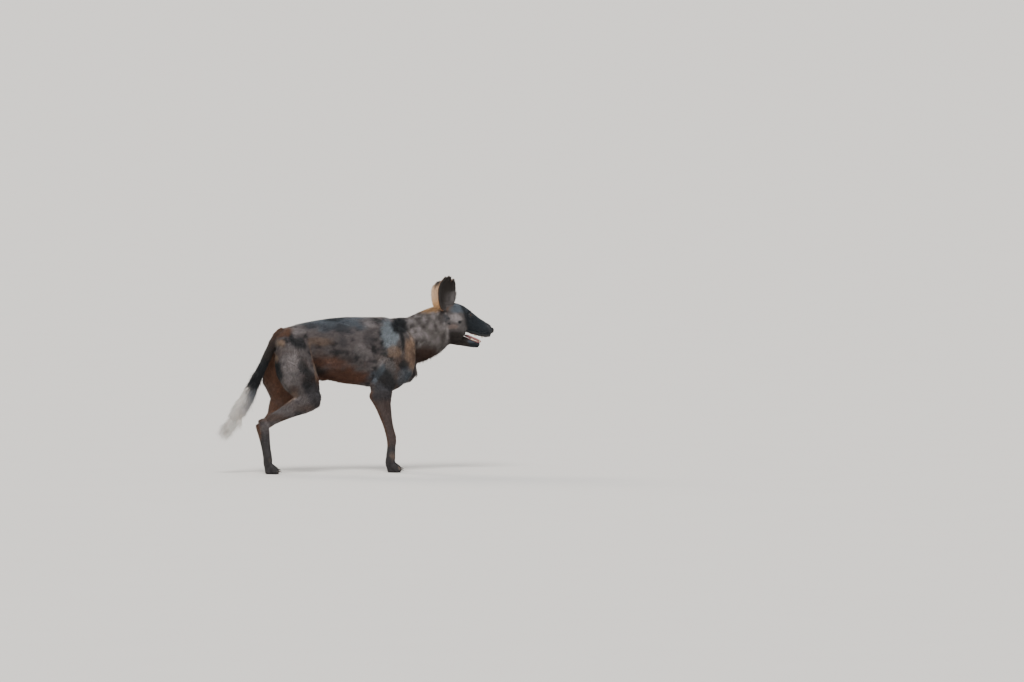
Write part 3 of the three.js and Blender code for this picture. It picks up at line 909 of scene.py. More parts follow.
    def _head(self, skin: "Skin", tint: Tint, warp: np.ndarray) -> None:
        """Paints the black muzzle with a painted blue sheen, the forehead's dark line, the forehead and pale
        cheeks in the grey-blue that their tan coat shows in painted shade, the mouth, and the nose with
        painted shade in its nostrils.
        """
        points, normals, share = skin.points, skin.normals, skin.share
        head = share[:, [Region.HEAD.value, Region.JAW.value]].sum(1)
        ahead, across, up = (points / MM).T
        spots = [
            # Painted shade: the forehead and cheeks are tan coat, given here the slate and pale grey that it
            # shows in cool shade.
            Patch("forehead", Tone.SLATE, 432, 690, (44, 24), side=Flank.BOTH, strength=0.9),
            Patch("crown", Tone.TAN, 380, 712, (30, 18), side=Flank.BOTH, strength=0.5),
            Patch("cheek pale", Tone.PALE, 414, 646, (26, 19), side=Flank.BOTH, ragged=0.25),
            Patch("cheek rose", Tone.ROSE, 402, 611, (20, 12), side=Flank.BOTH, strength=0.6, ragged=0.5),
            Patch("under ear", Tone.CHARCOAL, 366, 644, (19, 20), side=Flank.BOTH),
            Patch("cheek spot", Tone.BLACK, 387, 645, (5, 5), ragged=0.2),
            Patch("cheek spot low", Tone.BLACK, 388, 622, (7, 5), ragged=0.2),
            Patch("cheek spot front", Tone.BLACK, 431, 629, (7, 6), ragged=0.2),
            Patch("left cheek spot", Tone.BLACK, 396, 628, (8, 6), side=Flank.LEFT, ragged=0.2),
            Patch("cheek under", Tone.SOOT, 412, 560, (62, 32), side=Flank.BOTH),
        ]
        for spot in spots:
            tint(spot.tone, head * spot.cover(points, warp))
        line = np.exp(-((across / 7) ** 2)) * blend_step(660, 676, up)
        tint(Tone.BLACK, head * line * 0.85)
        edge = ahead + 0.22 * (up - 640) + 5 * warp
        # The muzzle's black carries a painted blue sheen of sky light.
        tint(Tone.MUZZLE, head * blend_step(452, 466, edge))
        tint(Tone.BLACK, head * np.exp(-(((edge - 462) / 9) ** 2)) * blend_step(596, 612, up) * 0.8)
        chin = Patch("chin", Tone.SLATE, 492, 545, (17, 6), side=Flank.BOTH, ragged=0.2)
        tint(chin.tone, share[:, Region.JAW.value] * chin.cover(points, warp) * 0.7)
        inward = np.maximum(-normals[:, 2], -normals[:, 1] * np.sign(across))
        upper = share[:, Region.HEAD.value] * blend_step(462, 470, ahead) * blend_step(592, 586, up)
        lips = upper * blend_step(0.35, 0.7, -normals[:, 2])
        roof = upper * blend_step(0.1, 0.5, inward) * blend_step(572, 576, up)
        roof *= blend_step(21, 17, np.abs(across)) * blend_step(556, 548, ahead)
        lower = share[:, Region.JAW.value] * blend_step(458, 466, ahead)
        rim = lower * blend_step(0.25, 0.6, normals[:, 2])
        floor = rim * blend_step(21, 17, np.abs(across)) * blend_step(530, 522, ahead)
        tint(Tone.LEATHER, lips)
        tint(Tone.PALATE, roof)
        tint(Tone.LEATHER, rim)
        tint(Tone.GUM, floor)
        for side in SIDES:
            gap = np.linalg.norm(points - np.array(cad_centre(f"eye_{side}")), axis=1) / MM
            tint(Tone.LEATHER, head * blend_step(17, 13, gap))
            tint(Tone.BLACK, head * blend_step(24, 17, gap) * 0.8)
            skin.wet = np.maximum(skin.wet, 0.6 * blend_step(13.5, 12.0, gap))
        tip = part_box("nose")[1].x / MM
        pad = share[:, Region.NOSE.value] * blend_step(tip - 21, tip - 17, ahead + 0.3 * (up - 600))
        tint(Tone.LEATHER, pad)
        # Painted shade: the nostrils are made near black, as a deep hole would be.
        nostril_shade = blend_step(0.3, 0.75, skin.nostril)
        tint(Tone.PIT, nostril_shade)
        skin.wet = np.maximum.reduce([skin.wet, roof, floor, 0.9 * lips, 0.9 * rim, pad])
        skin.wet *= 1 - blend_step(0.02, 0.25, skin.nostril)

    def _ears(self, skin: "Skin", tint: Tint, warp: np.ndarray) -> None:
        """Colours the ears: black-brown inside with a pale tuft in front, tan behind with a painted glow of
        backlight through it, gold low down, with a rusty rim.
        """
        points, share = skin.points, skin.share
        ears = share[:, Region.EAR.value]
        for side, sign in SIDES.items():
            here = ears * (points[:, 1] * sign > 0)
            low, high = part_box(f"ear_{side}")
            height = (points[:, 2] - low.z) / (high.z - low.z)
            inside = skin.ear_inside[side]
            # The backs: the ear's tan with a painted glow of backlight through it, and gold low down that is
            # partly painted rim light.
            tint(Tone.EAR_BACK, here * (1 - inside) * blend_step(1.0, 0.6, height + 0.15 * warp) * 0.85)
            tint(Tone.GOLD, here * (1 - inside) * blend_step(0.5, 0.2, height) * 0.6)
            tint(Tone.SOOT, here * inside)
            ahead = (points[:, 0] - low.x) / (high.x - low.x)
            front = blend_step(0.3, 0.7, ahead) * blend_step(1.0, 0.82, ahead)
            front *= blend_step(0.62, 0.4, height) * (0.5 + 0.5 * blend_step(0.05, 0.3, height))
            tint(Tone.GREY, here * inside * front * (0.8 + 0.2 * blend_step(-0.3, 0.4, warp)))
            tint(Tone.RUST, here * skin.ear_rim[side] * 0.6)

    def _tail(self, skin: "Skin", tint: Tint, warp: np.ndarray) -> None:
        """Colours the tail from its rusty root through black to its white brush, with painted blue-grey shade
        along its front side.
        """
        points, share = skin.points, skin.share
        tail = share[:, Region.TAIL.value]
        height = points[:, 2] / MM + 20 * warp
        # Painted shade: the side of the brush that faces forwards, away from the light behind, turns
        # blue-grey.
        side = blend_step(-0.6, 0.2, skin.normals[:, 0])
        tint(Tone.SILVER, tail * blend_step(262, 330, height) * side * 0.8)
        tint(Tone.SLATE, tail * blend_step(320, 366, height) * side * 0.8)
        tint(Tone.BLACK, tail * blend_step(360, 392, height))
        tint(Tone.SOOT, tail * blend_step(470, 510, height))
        tint(Tone.BROWN, tail * blend_step(535, 580, height))
        tint(Tone.RUST, tail * blend_step(560, 605, height) * 0.5)


class Skin:
    """The one skin over all the flesh, with the regions, hair directions and colours it carries."""

    VOXEL = 2.4 * MM
    FACES = 172000
    SMOOTH_STEPS = 40
    BLEND_STEPS = 110
    FOLD_STEPS = 90
    DEEP_STEPS = 240
    # The tail's flesh as a share of its solid's thickness, at its root and from its middle on.
    TAIL_CORE = (0.8, 0.3)
    # The solids are swollen by this much before they are joined, so that neighbours overlap.
    OVERLAP = 0.5 * MM
    # Round the eyes and the nose, edges longer than this are split.
    FINE_EDGE = 0.7 * MM
    EYE_REACH = 19 * MM
    NOSE_REACH = 22 * MM

    FORMS = [
        Form("shoulder blade", 160, 570, (10, 56), 4.0, turn=-14),
        Form("behind the shoulder", 58, 480, (16, 84), -6.0, turn=12),
        Form("triceps", 106, 440, (40, 42), 5.0, turn=30),
        Form("point of the shoulder", 212, 474, (24, 30), 4.0),
        Form("upper arm groove", 162, 448, (8, 44), -4.0, turn=40),
        Form("flank hollow", -185, 530, (50, 44), -9.0),
        Form("hip bone", -292, 598, (20, 14), 4.0),
        Form("seat bone", -372, 560, (16, 18), 3.0),
        Form("thigh muscle", -280, 480, (44, 60), 4.0),
        Form("thigh groove", -322, 450, (7, 66), -3.5, turn=12),
        Form("loin edge", -150, 590, (80, 9), 2.0, turn=-4),
        Form("rib arch", -110, 450, (90, 12), 2.4, turn=-28),
        Form("jugular groove", 250, 540, (60, 10), -3.0, turn=34),
        Form("jaw muscle", 428, 618, (26, 24), 2.5),
        Form("temple", 448, 690, (16, 9), -2.0),
        Form("brow", 480, 673, (15, 6), 2.0, turn=-30),
        Form("cheek hollow", 512, 628, (22, 9), -2.5, turn=-30),
        Form("whisker pad", 548, 598, (18, 13), 1.5),
        Form("hock tendon right", -386, 240, (32, 8), -4.5, turn=30, side=Flank.RIGHT),
        Form("hock tendon left", -369, 224, (28, 8), -4.5, turn=42, side=Flank.LEFT),
        Form("forearm groove right", 106, 300, (8, 60), -3.0, turn=12, side=Flank.RIGHT),
        Form("forearm groove left", 140, 300, (8, 60), -3.0, turn=12, side=Flank.LEFT),
    ]
    # Where two parts of the body meet and the skin flows over both.
    FOLDS: list[Fold] = [
        ("elbow right", (70, -70, 372), 58),
        ("elbow left", (104, 70, 372), 58),
        ("neck root right", (214, -66, 560), 80),
        ("neck root left", (214, 66, 560), 80),
        ("neck root below", (236, 0, 462), 70),
        ("cheek right", (362, -66, 618), 84),
        ("cheek left", (362, 66, 618), 84),
        ("jaw angle", (352, 0, 540), 66),
        ("nape", (345, 0, 706), 46),
        ("flank right", (-190, -84, 492), 96),
        ("flank left", (-200, 84, 492), 96),
        ("rump right", (-330, -66, 575), 66),
        ("rump left", (-330, 66, 575), 66),
        ("croup", (-300, 0, 600), 60),
        ("hock right", (-396, -68, 208), 34),
        ("hock left", (-376, 68, 186), 34),
        ("withers", (160, 0, 645), 56),
    ]
    # Where a ledge between two parts is smoothed away for longer.
    DEEP_FOLDS: list[Fold] = [
        ("elbow right", (76, -74, 360), 66),
        ("elbow left", (110, 74, 360), 66),
        ("pastern right", (118, -60, 38), 38),
        ("pastern left", (148, 60, 38), 38),
        ("hind pastern right", (-410, -66, 42), 38),
        ("hind pastern left", (-382, 66, 40), 38),
        ("tail root", (-296, 0, 616), 44),
        ("breast", (240, 0, 455), 46),
    ]
    # Flesh that bridges between the solids: name, middle and half sizes in millimetres.
    BRIDGES: list[tuple[str, Triple, Triple]] = [
        ("elbow right", (70, -70, 366), (36, 27, 42)),
        ("elbow left", (104, 70, 366), (36, 27, 42)),
        ("withers", (160, 0, 628), (54, 26, 21)),
        ("hock right", (-424, -72, 222), (16, 15, 12)),
        ("hock left", (-404, 72, 194), (14, 15, 14)),
        ("heel right", (117, -60, 40), (15, 18, 26)),
        ("heel left", (147, 60, 40), (15, 18, 26)),
        ("hind heel right", (-409, -66, 42), (13, 17, 26)),
        ("hind heel left", (-381, 66, 40), (13, 17, 26)),
    ]
    RIBS = {"first": 36.0, "pitch": 26.0, "count": 7, "rise": 1.8}

    def __init__(self) -> None:
        """Finds the landmarks in the frame and prepares the tail's middle line."""
        self.tail = Spine("tail")
        self.shapes = {name: node_shape(name) for name in FLESH}
        self.mesh = self._body()
        self._sculpt_body()
        self.mesh = self._thin(self.mesh)
        self._refine_head()
        self._read()
        self._sculpt_face()
        self._read()
        self._grow_directions()
        self.colours = Markings().paint(self)
        self.settle_hair()

    def _body(self) -> bpy.types.Mesh:
        """Joins the flesh nodes, the eyeballs and the bridges into one closed skin of even cells."""
        points, faces, start = [], [], 0
        for name, (place, tris) in self.shapes.items():
            normals = self._corner_normals(place, tris)
            place = place + normals * self.OVERLAP
            if FLESH[name][0] is Region.TAIL:
                place = self._tail_core(place)
            points.append(place)
            faces.append(tris + start)
            start += len(place)
        extra = [node_shape(f"eye_{side}") for side in SIDES]
        extra += [ellipsoid(middle, reach) for _name, middle, reach in self.BRIDGES]
        for place, tris in extra:
            points.append(place)
            faces.append(tris + start)
            start += len(place)
        joined = bpy.data.meshes.new("skin_start")
        loops = np.concatenate(faces)
        fill_mesh(joined, np.concatenate(points), loops.ravel(), np.full(len(loops), 3))
        return with_modifier(joined, "REMESH", {"mode": "VOXEL", "voxel_size": self.VOXEL})

    @staticmethod
    def _corner_normals(points: np.ndarray, faces: np.ndarray) -> np.ndarray:
        """Vertex normals of a coarse solid."""
        corners = points[faces]
        flat = np.cross(corners[:, 1] - corners[:, 0], corners[:, 2] - corners[:, 0])
        total = np.zeros_like(points)
        for corner in range(3):
            np.add.at(total, faces[:, corner], flat)
        return unit(total)

    def _tail_core(self, points: np.ndarray) -> np.ndarray:
        """Shrinks the tail's solid to the flesh inside its hair, shorter than the brush."""
        share = np.clip(self.tail.share(points), 0, 1)
        middle = self.tail.middle(share)
        thick, thin = self.TAIL_CORE
        scale = thick + (thin - thick) * blend_step(0.0, 0.45, share)
        shorter = self.tail.middle(share * (1 - 0.11 * blend_step(0.5, 1.0, share)))
        return shorter + (points - middle) * scale[:, None]

    def _labels(self, points: np.ndarray) -> np.ndarray:
        """The number of the nearest flesh node for each point."""
        owners, points_all, faces_all, start = [], [], [], 0
        for index, (name, (place, tris)) in enumerate(self.shapes.items()):
            if FLESH[name][0] is Region.TAIL:
                place = self._tail_core(place)
            points_all.append(place)
            faces_all.append(tris + start)
            owners.append(np.full(len(tris), index))
            start += len(place)
        tree = BVHTree.FromPolygons(
            np.concatenate(points_all).tolist(), np.concatenate(faces_all).tolist()
        )
        owner = np.concatenate(owners)
        return np.array([owner[tree.find_nearest(p)[2]] for p in points.tolist()])

    def _region_share(self, labels: np.ndarray, edges: np.ndarray, times: int) -> np.ndarray:
        """How much each vertex belongs to each region, softened across their borders."""
        regions = np.array([FLESH[n][0].value for n in NODE_NAMES])[labels]
        share = np.eye(len(Region))[regions]
        return relax(share, edges, np.full(len(share), 0.6), times)

    def _pelt(self, share: np.ndarray, name: str) -> np.ndarray:
        """One value of the pelts, mixed by region."""
        return share @ np.array([getattr(PELTS[r], name) for r in Region])

    def _sculpt_body(self) -> None:
        """Smooths the skin, draws it in by the coat's depth and raises its muscles and bones."""
        mesh = self.mesh
        edges = mesh_edges(mesh)
        points = vertex_points(mesh)
        share = self._region_share(self._labels(points), edges, 10)
        pad = blend_step(4 * MM, 1 * MM, points[:, 2])
        weight = 0.6 * self._pelt(share, "smooth") * (1 - pad)
        firm = self._pelt(share, "firm")
        points = fair(points, edges, weight, firm, self.SMOOTH_STEPS)
        points = self._flow_over(points, edges, self.FOLDS, self.FOLD_STEPS)
        points = self._flow_over(points, edges, self.DEEP_FOLDS, self.DEEP_STEPS)
        mesh.vertices.foreach_set("co", points.astype(np.float32).ravel())
        mesh.update()
        normals = vertex_normals(mesh)
        depth = self._depth(points, normals, share) * (1 - pad)
        depth = relax(depth[:, None], edges, np.full(len(points), 0.7), self.BLEND_STEPS)[:, 0]
        depth = np.minimum(depth, 2.2 * self._depth(points, normals, share)) * (1 - pad)
        points = points - normals * depth[:, None]
        points += normals * self._form_lift(points, normals, share)[:, None]
        points = relax(points, edges, 0.5 * self._pelt(share, "smooth") * (1 - pad), 4)
        points[:, 2] = np.maximum(points[:, 2], 0.0)
        mesh.vertices.foreach_set("co", points.astype(np.float32).ravel())
        mesh.update()

    @staticmethod
    def _flow_over(points: np.ndarray, edges: np.ndarray, folds: list[Fold], steps: int) -> np.ndarray:
        """Smooths the skin where two parts of the body meet, and leaves the rest.

        Args:
            points: One row for each vertex.
            edges: Pairs of neighbours.
            folds: Each fold's name, middle and reach.
            steps: How often it is smoothed.

        Returns:
            The smoothed points.
        """
        folded = np.zeros(len(points))
        for _name, middle, reach in folds:
            gap = np.linalg.norm(points / MM - np.array(middle), axis=1) / reach
            folded = np.maximum(folded, 1 - blend_step(0.35, 1.0, gap))
        folded *= blend_step(1 * MM, 6 * MM, points[:, 2])
        chosen = np.flatnonzero(folded > 0)
        index = np.full(len(points), -1)
        index[chosen] = np.arange(len(chosen))
        inside = index[edges]
        inside = inside[(inside >= 0).all(1)]
        points = points.copy()
        points[chosen] = relax(points[chosen], inside, 0.6 * folded[chosen], steps)
        return points

    def _depth(self, points: np.ndarray, normals: np.ndarray, share: np.ndarray) -> np.ndarray:
        """How far the skin lies under the tips of the hair, in metres."""
        depth = self._pelt(share, "depth")
        throat = share[:, Region.NECK.value] * blend_step(0.0, 0.8, -normals[:, 2])
        belly = share[:, Region.TRUNK.value] * blend_step(0.2, 0.9, -normals[:, 2])
        return (depth + 8 * throat + 2 * belly) * MM

    def _form_lift(self, points: np.ndarray, normals: np.ndarray, share: np.ndarray) -> np.ndarray:
        """The height of all muscles, bones, hollows and ribs at each vertex."""
        lift = np.zeros(len(points))
        for form in self.FORMS:
            lift += form.lift(points, normals)
        ribs = self.RIBS
        for number in range(ribs["count"]):
            x = ribs["first"] - number * ribs["pitch"]
            rib = Form("rib", x, 490 + number * 4, (4.5, 58), ribs["rise"], turn=-18)
            lift += rib.lift(points, normals) * share[:, Region.TRUNK.value]
        return lift

    def _thin(self, mesh: bpy.types.Mesh) -> bpy.types.Mesh:
        """Brings the skin down to its number of triangles, finest where it bends most."""
        triangles = 2 * len(mesh.polygons)
        ratio = min(1.0, self.FACES / triangles)
        LOG.info("skin: %d triangles before thinning", triangles)
        settings = {"decimate_type": "COLLAPSE", "ratio": ratio, "use_collapse_triangulate": True}
        return with_modifier(mesh, "DECIMATE", settings)

    def _refine_head(self) -> None:
        """Splits the triangles round the eyes and the nose, where the detail is finest."""
        shape = bmesh.new()
        shape.from_mesh(self.mesh)
        spots = [(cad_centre(f"eye_{side}"), self.EYE_REACH) for side in SIDES]
        spots.append((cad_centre("nose"), self.NOSE_REACH))
        for reach in (1.0, 0.8):
            edges = [
                e
                for e in shape.edges
                if e.calc_length() > self.FINE_EDGE
                and any((e.verts[0].co - c).length < r * reach for c, r in spots)
            ]
            bmesh.ops.subdivide_edges(shape, edges=edges, cuts=1, use_grid_fill=True)
            bmesh.ops.triangulate(shape, faces=[f for f in shape.faces if len(f.verts) > 3])
            near = [v for v in shape.verts if any((v.co - c).length < r * reach for c, r in spots)]
            bmesh.ops.smooth_vert(
                shape, verts=near, factor=0.5, use_axis_x=True, use_axis_y=True, use_axis_z=True
            )
        shape.to_mesh(self.mesh)
        shape.free()
        self.mesh.update()

    def _read(self) -> None:
        """Reads the mesh's places, normals, edges, triangles and regions into arrays."""
        mesh = self.mesh
        self.points = vertex_points(mesh)
        self.normals = vertex_normals(mesh)
        self.edges = mesh_edges(mesh)
        corners = np.empty(len(mesh.loops), np.int32)
        mesh.loops.foreach_get("vertex_index", corners)
        self.triangles = corners.reshape(-1, 3)
        self.labels = self._labels(self.points)
        self.share = self._region_share(self.labels, self.edges, 8)
        self.wet = np.zeros(len(self.points))

    def _write(self) -> None:
        """Writes the changed places back to the mesh."""
        self.mesh.vertices.foreach_set("co", self.points.astype(np.float32).ravel())
        self.mesh.update()

    def _sculpt_face(self) -> None:
        """Opens the lids over the eyes and the nostrils in the nose, and notches the right ear."""
        for side, sign in SIDES.items():
            self._lids(side, sign)
        self._nostrils()
        self._notch()
        self._write()

    def _lids(self, side: str, sign: int) -> None:
        """Wraps the lids over one eye and sinks the skin behind its opening."""
        axes = eye_axes(sign)
        centre = np.array(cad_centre(f"eye_{side}")) - EYE_SINK * axes[0]
        radius = EYE_RADIUS
        offset = self.points - centre
        distance = np.linalg.norm(offset, axis=1)
        look, along, up = (offset @ axis for axis in axes)
        side_angle = np.degrees(np.arctan2(along, look))
        rise_angle = np.degrees(np.arctan2(up, np.hypot(look, along)))
        tilt = 0.12 * side_angle
        upper = (rise_angle - tilt) > 0
        opening = np.hypot(side_angle / 50.0, (rise_angle - tilt) / np.where(upper, 30.0, 25.0))
        near = (distance < 30 * MM) & (look > -0.2 * radius)
        lid = radius + (0.8 + 0.9 * np.exp(-(((opening - 1.3) / 0.3) ** 2))) * MM
        sunk = radius * 0.72
        target = np.where(opening < 1.0, sunk, lid)
        pull = np.where(opening < 1.0, 1.0, 1 - blend_step(1.3, 2.6, opening))
        reach = distance + (target - distance) * pull
        reach = np.where(opening >= 1.0, np.maximum(reach, np.minimum(distance, lid)), reach)
        moved = centre + unit(offset) * reach[:, None]
        self.points[near] = moved[near]

    def _notch(self) -> None:
        """Cuts the ragged notch into the top of the right ear and wears its edge."""
        ear = self.share[:, Region.EAR.value] * self._beside("right")
        ahead, top = self.points[:, 0] / MM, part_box("ear_right")[1].z
        near_top = blend_step(top - 34 * MM, top - 4 * MM, self.points[:, 2])
        cut = np.exp(-(((ahead - 397) / 4.0) ** 2)) * 11 + np.exp(-(((ahead - 372) / 3.0) ** 2)) * 3
        self.points[:, 2] -= cut * MM * ear * near_top

    def _nostrils(self) -> None:
        """Presses the two nostrils into the nose and a groove between them."""
        low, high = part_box("nose")
        tip = np.array([high.x, (low.y + high.y) / 2, (low.z + high.z) / 2])
        size = np.array(high - low)
        self.nostril = np.zeros(len(self.points))
        for sign in SIDES.values():
            hole = tip + size * np.array([-0.2, sign * 0.24, 0.05])
            gap = (self.points - hole) / MM
            depth = np.exp(-((gap[:, 0] / 6.0) ** 2 + (gap[:, 1] / 3.0) ** 2 + (gap[:, 2] / 3.4) ** 2))
            self.nostril = np.maximum(self.nostril, depth)
            self.points[:, 0] -= 6.5 * MM * depth
            self.points[:, 1] -= sign * 1.4 * MM * depth
            around = 0.4 * blend_step(9, 6, np.linalg.norm(gap, axis=1))
            self.points = relax(self.points, self.edges, around, 4)
        middle = (self.points - tip) / MM
        groove = np.exp(-((middle[:, 1] / 1.3) ** 2)) * blend_step(-14, -4, middle[:, 0])
        self.points[:, 0] -= 1.4 * MM * groove * blend_step(4, -4, middle[:, 2])

    def _grow_directions(self) -> None:
        """Works out where the hair points, how long and wide it is and how high its tips may stand."""
        points, normals, share = self.points, self.normals, self.share
        flow = np.array([FLESH[name][1] for name in NODE_NAMES])[self.labels]
        regions = np.array([FLESH[n][0].value for n in NODE_NAMES])[self.labels]
        tail = regions == Region.TAIL.value
        flow[tail] = self.tail.heading(np.clip(self.tail.share(points[tail]), 0.05, 0.93))
        self._read_ears(flow)
        feet = (regions == Region.PAW.value) & (points[:, 2] < 34 * MM)
        flow[feet] = (0.9, 0.0, -0.35)
        belly = (regions == Region.TRUNK.value) & (normals[:, 2] < -0.5)
        flow[belly] = (-1.0, 0.0, 0.05)
        flow = relax(unit(flow), self.edges, np.full(len(points), 0.7), 16)
        swirl = 0.35 * Grain(11, 60 * MM)(points)[:, None]
        flow = unit(flow) + swirl * np.cross(normals, unit(flow))
        outward = (flow * normals).sum(1)
        self.tail_cap = share[:, Region.TAIL.value] * blend_step(0.25, 0.6, outward)
        flow -= outward[:, None] * normals
        self.flow = unit(flow)
        self.room = self._room()
        length = self._pelt(share, "length")
        neck = share[:, Region.NECK.value]
        low = blend_step(0.0, 0.8, -normals[:, 2])
        length += 22 * neck * low * blend_step(440 * MM, 500 * MM, points[:, 2])
        length += 7 * share[:, Region.TRUNK.value] * low
        length += 7 * share[:, Region.THIGH.value] * blend_step(0.3, 0.9, -normals[:, 0])
        tail_share = self.tail.share(points)
        grown = 0.3 + 0.85 * blend_step(0.12, 0.6, tail_share)
        length *= 1 + share[:, Region.TAIL.value] * (grown - 1)
        self.brush_end = share[:, Region.TAIL.value] * blend_step(0.6, 0.98, tail_share)
        closed = share[:, Region.TAIL.value] * blend_step(0.62, 0.84, tail_share)
        self.room += closed * (np.minimum(self.room, 5 * MM) - self.room)
        self.length = length * MM
        self.width = self._pelt(share, "width") * MM
        self.stray = np.radians(self._pelt(share, "stray")) * (1 - 0.5 * self.brush_end)
        self._find_masks()

    def _find_masks(self) -> None:
        """Finds the places of the ears' fringe and the whiskers."""
        points, share = self.points, self.share
        fringe = np.zeros(len(points))
        for side in SIDES:
            low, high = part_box(f"ear_{side}")
            height = (points[:, 2] - low.z) / (high.z - low.z)
            ahead = (points[:, 0] - low.x) / (high.x - low.x)
            edge = blend_step(0.6, 0.95, ahead + 0.25 * self.ear_rim[side])
            place = blend_step(0.05, 0.2, height) * blend_step(0.6, 0.25, height)
            fringe += share[:, Region.EAR.value] * self.ear_inside[side] * edge * place * self._beside(side)
        nose = np.array(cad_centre("nose"))
        gap = (points - nose) / MM
        pad = blend_step(-62, -40, gap[:, 0]) * blend_step(-10, -22, gap[:, 0])
        pad *= blend_step(-24, -18, gap[:, 2]) * blend_step(4, -2, gap[:, 2])
        pad *= blend_step(8, 13, np.abs(gap[:, 1]))
        self.masks = {"fringe": fringe, "whiskers": share[:, Region.HEAD.value] * pad}

    def _beside(self, side: str) -> np.ndarray:
        """One on the named side of the body and nothing on the other."""
        return (self.points[:, 1] * SIDES[side] > 0).astype(float)

    def settle_hair(self) -> None:
        """Keeps hair off the moist skin and the soles, and grows it closest at the brush's end."""
        soles = (self.normals[:, 2] < -0.6) & (self.points[:, 2] < 4 * MM)
        bare = np.maximum(self.wet, blend_step(0.01, 0.04, self.nostril))
        self.hairy = np.where(soles, 0.0, 1 - blend_step(0.15, 0.5, bare))
        self.hairy *= (1 + 2.5 * self.brush_end) * (1 - self.tail_cap)

    def _read_ears(self, flow: np.ndarray) -> None:
        """Finds the inside and the rim of each ear, and points the ears' hair up and outwards."""
        self.ear_inside, self.ear_rim = {}, {}
        for side, sign in SIDES.items():
            low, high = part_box(f"ear_{side}")
            here = self.labels == NODE_NAMES.index(f"ear_{side}")
            middle = np.array(low + high) / 2
            foot = np.array([middle[0], middle[1], low.z - 20 * MM])
            flow[here] = unit(self.points[here] - foot)
            back = self.points[here & (self.points[:, 2] > middle[2])]
            centred = back - back.mean(0)
            facing = np.linalg.svd(centred, full_matrices=False)[2][2]
            facing = facing * np.sign(facing @ np.array([1.0, sign * 0.6, 0.0]))
            self.ear_inside[side] = blend_step(-0.1, 0.25, self.normals @ facing)
            self.ear_rim[side] = blend_step(0.75, 0.3, np.abs(self.normals @ facing))

    def _room(self) -> np.ndarray:
        """How far the solids' surface is above the skin, which is how high the hair may stand."""
        points_all, faces_all, start = [], [], 0
        for place, tris in self.shapes.values():
            points_all.append(place)
            faces_all.append(tris + start)
            start += len(place)
        tree = BVHTree.FromPolygons(
            np.concatenate(points_all).tolist(), np.concatenate(faces_all).tolist()
        )
        room = np.zeros(len(self.points))
        furthest = 60 * MM
        for index, (point, normal) in enumerate(zip(self.points.tolist(), self.normals.tolist())):
            hit = tree.ray_cast(point, normal, furthest)
            room[index] = hit[3] if hit[0] is not None else 0.0
        return relax(room[:, None], self.edges, np.full(len(room), 0.6), 8)[:, 0]

    def unwrap(self) -> None:
        """Unwraps the skin's own shape, so that each hair's root has a place of its own."""
        holder = bpy.data.objects.new("unwrap", self.mesh)
        bpy.context.scene.collection.objects.link(holder)
        bpy.context.view_layer.objects.active = holder
        holder.select_set(True)
        self.mesh.uv_layers.new(name="OFBake")
        bpy.ops.object.mode_set(mode="EDIT")
        bpy.ops.mesh.select_all(action="SELECT")
        bpy.ops.uv.smart_project(angle_limit=math.radians(66), island_margin=0.002)
        bpy.ops.object.mode_set(mode="OBJECT")
        bpy.data.objects.remove(holder)
        spots = np.empty(len(self.mesh.loops) * 2, np.float32)
        self.mesh.uv_layers["OFBake"].data.foreach_get("uv", spots)
        self.unwrapped = spots.reshape(-1, 3, 2).astype(float)

    def show(self) -> None:
        """Shows the skin in place of the flesh nodes."""
        set_colours(self.mesh, "marking", self.colours)
        set_values(self.mesh, "moist", np.clip(self.wet, 0, 1))
        self.mesh.polygons.foreach_set("use_smooth", np.ones(len(self.mesh.polygons), bool))
        self.mesh.name = "skin"
        place_piece("skin", self.mesh, SkinFinish().material(), list(FLESH))


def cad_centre(node: str) -> Vector:
    """The middle of a CAD node's box."""
    low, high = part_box(node)
    return (low + high) / 2


EYE_RADIUS = 10.8 * MM
EYE_SINK = 3.0 * MM


def eye_axes(sign: int) -> tuple[np.ndarray, np.ndarray, np.ndarray]:
    """The directions in which an eye looks, towards its front corner, and up."""
    turn = math.radians(46)
    look = unit(np.array([math.cos(turn), sign * math.sin(turn), 0.1]))
    up = unit(np.array([0.0, 0.0, 1.0]) - look[2] * look)
    along = np.cross(up, look) * -sign
    return look, along, up


class Cut(Enum):
    """The build of one tuft: how many bends it has along its length."""

    STRAIGHT = 0
    BENT = 1
    FLOWING = 2


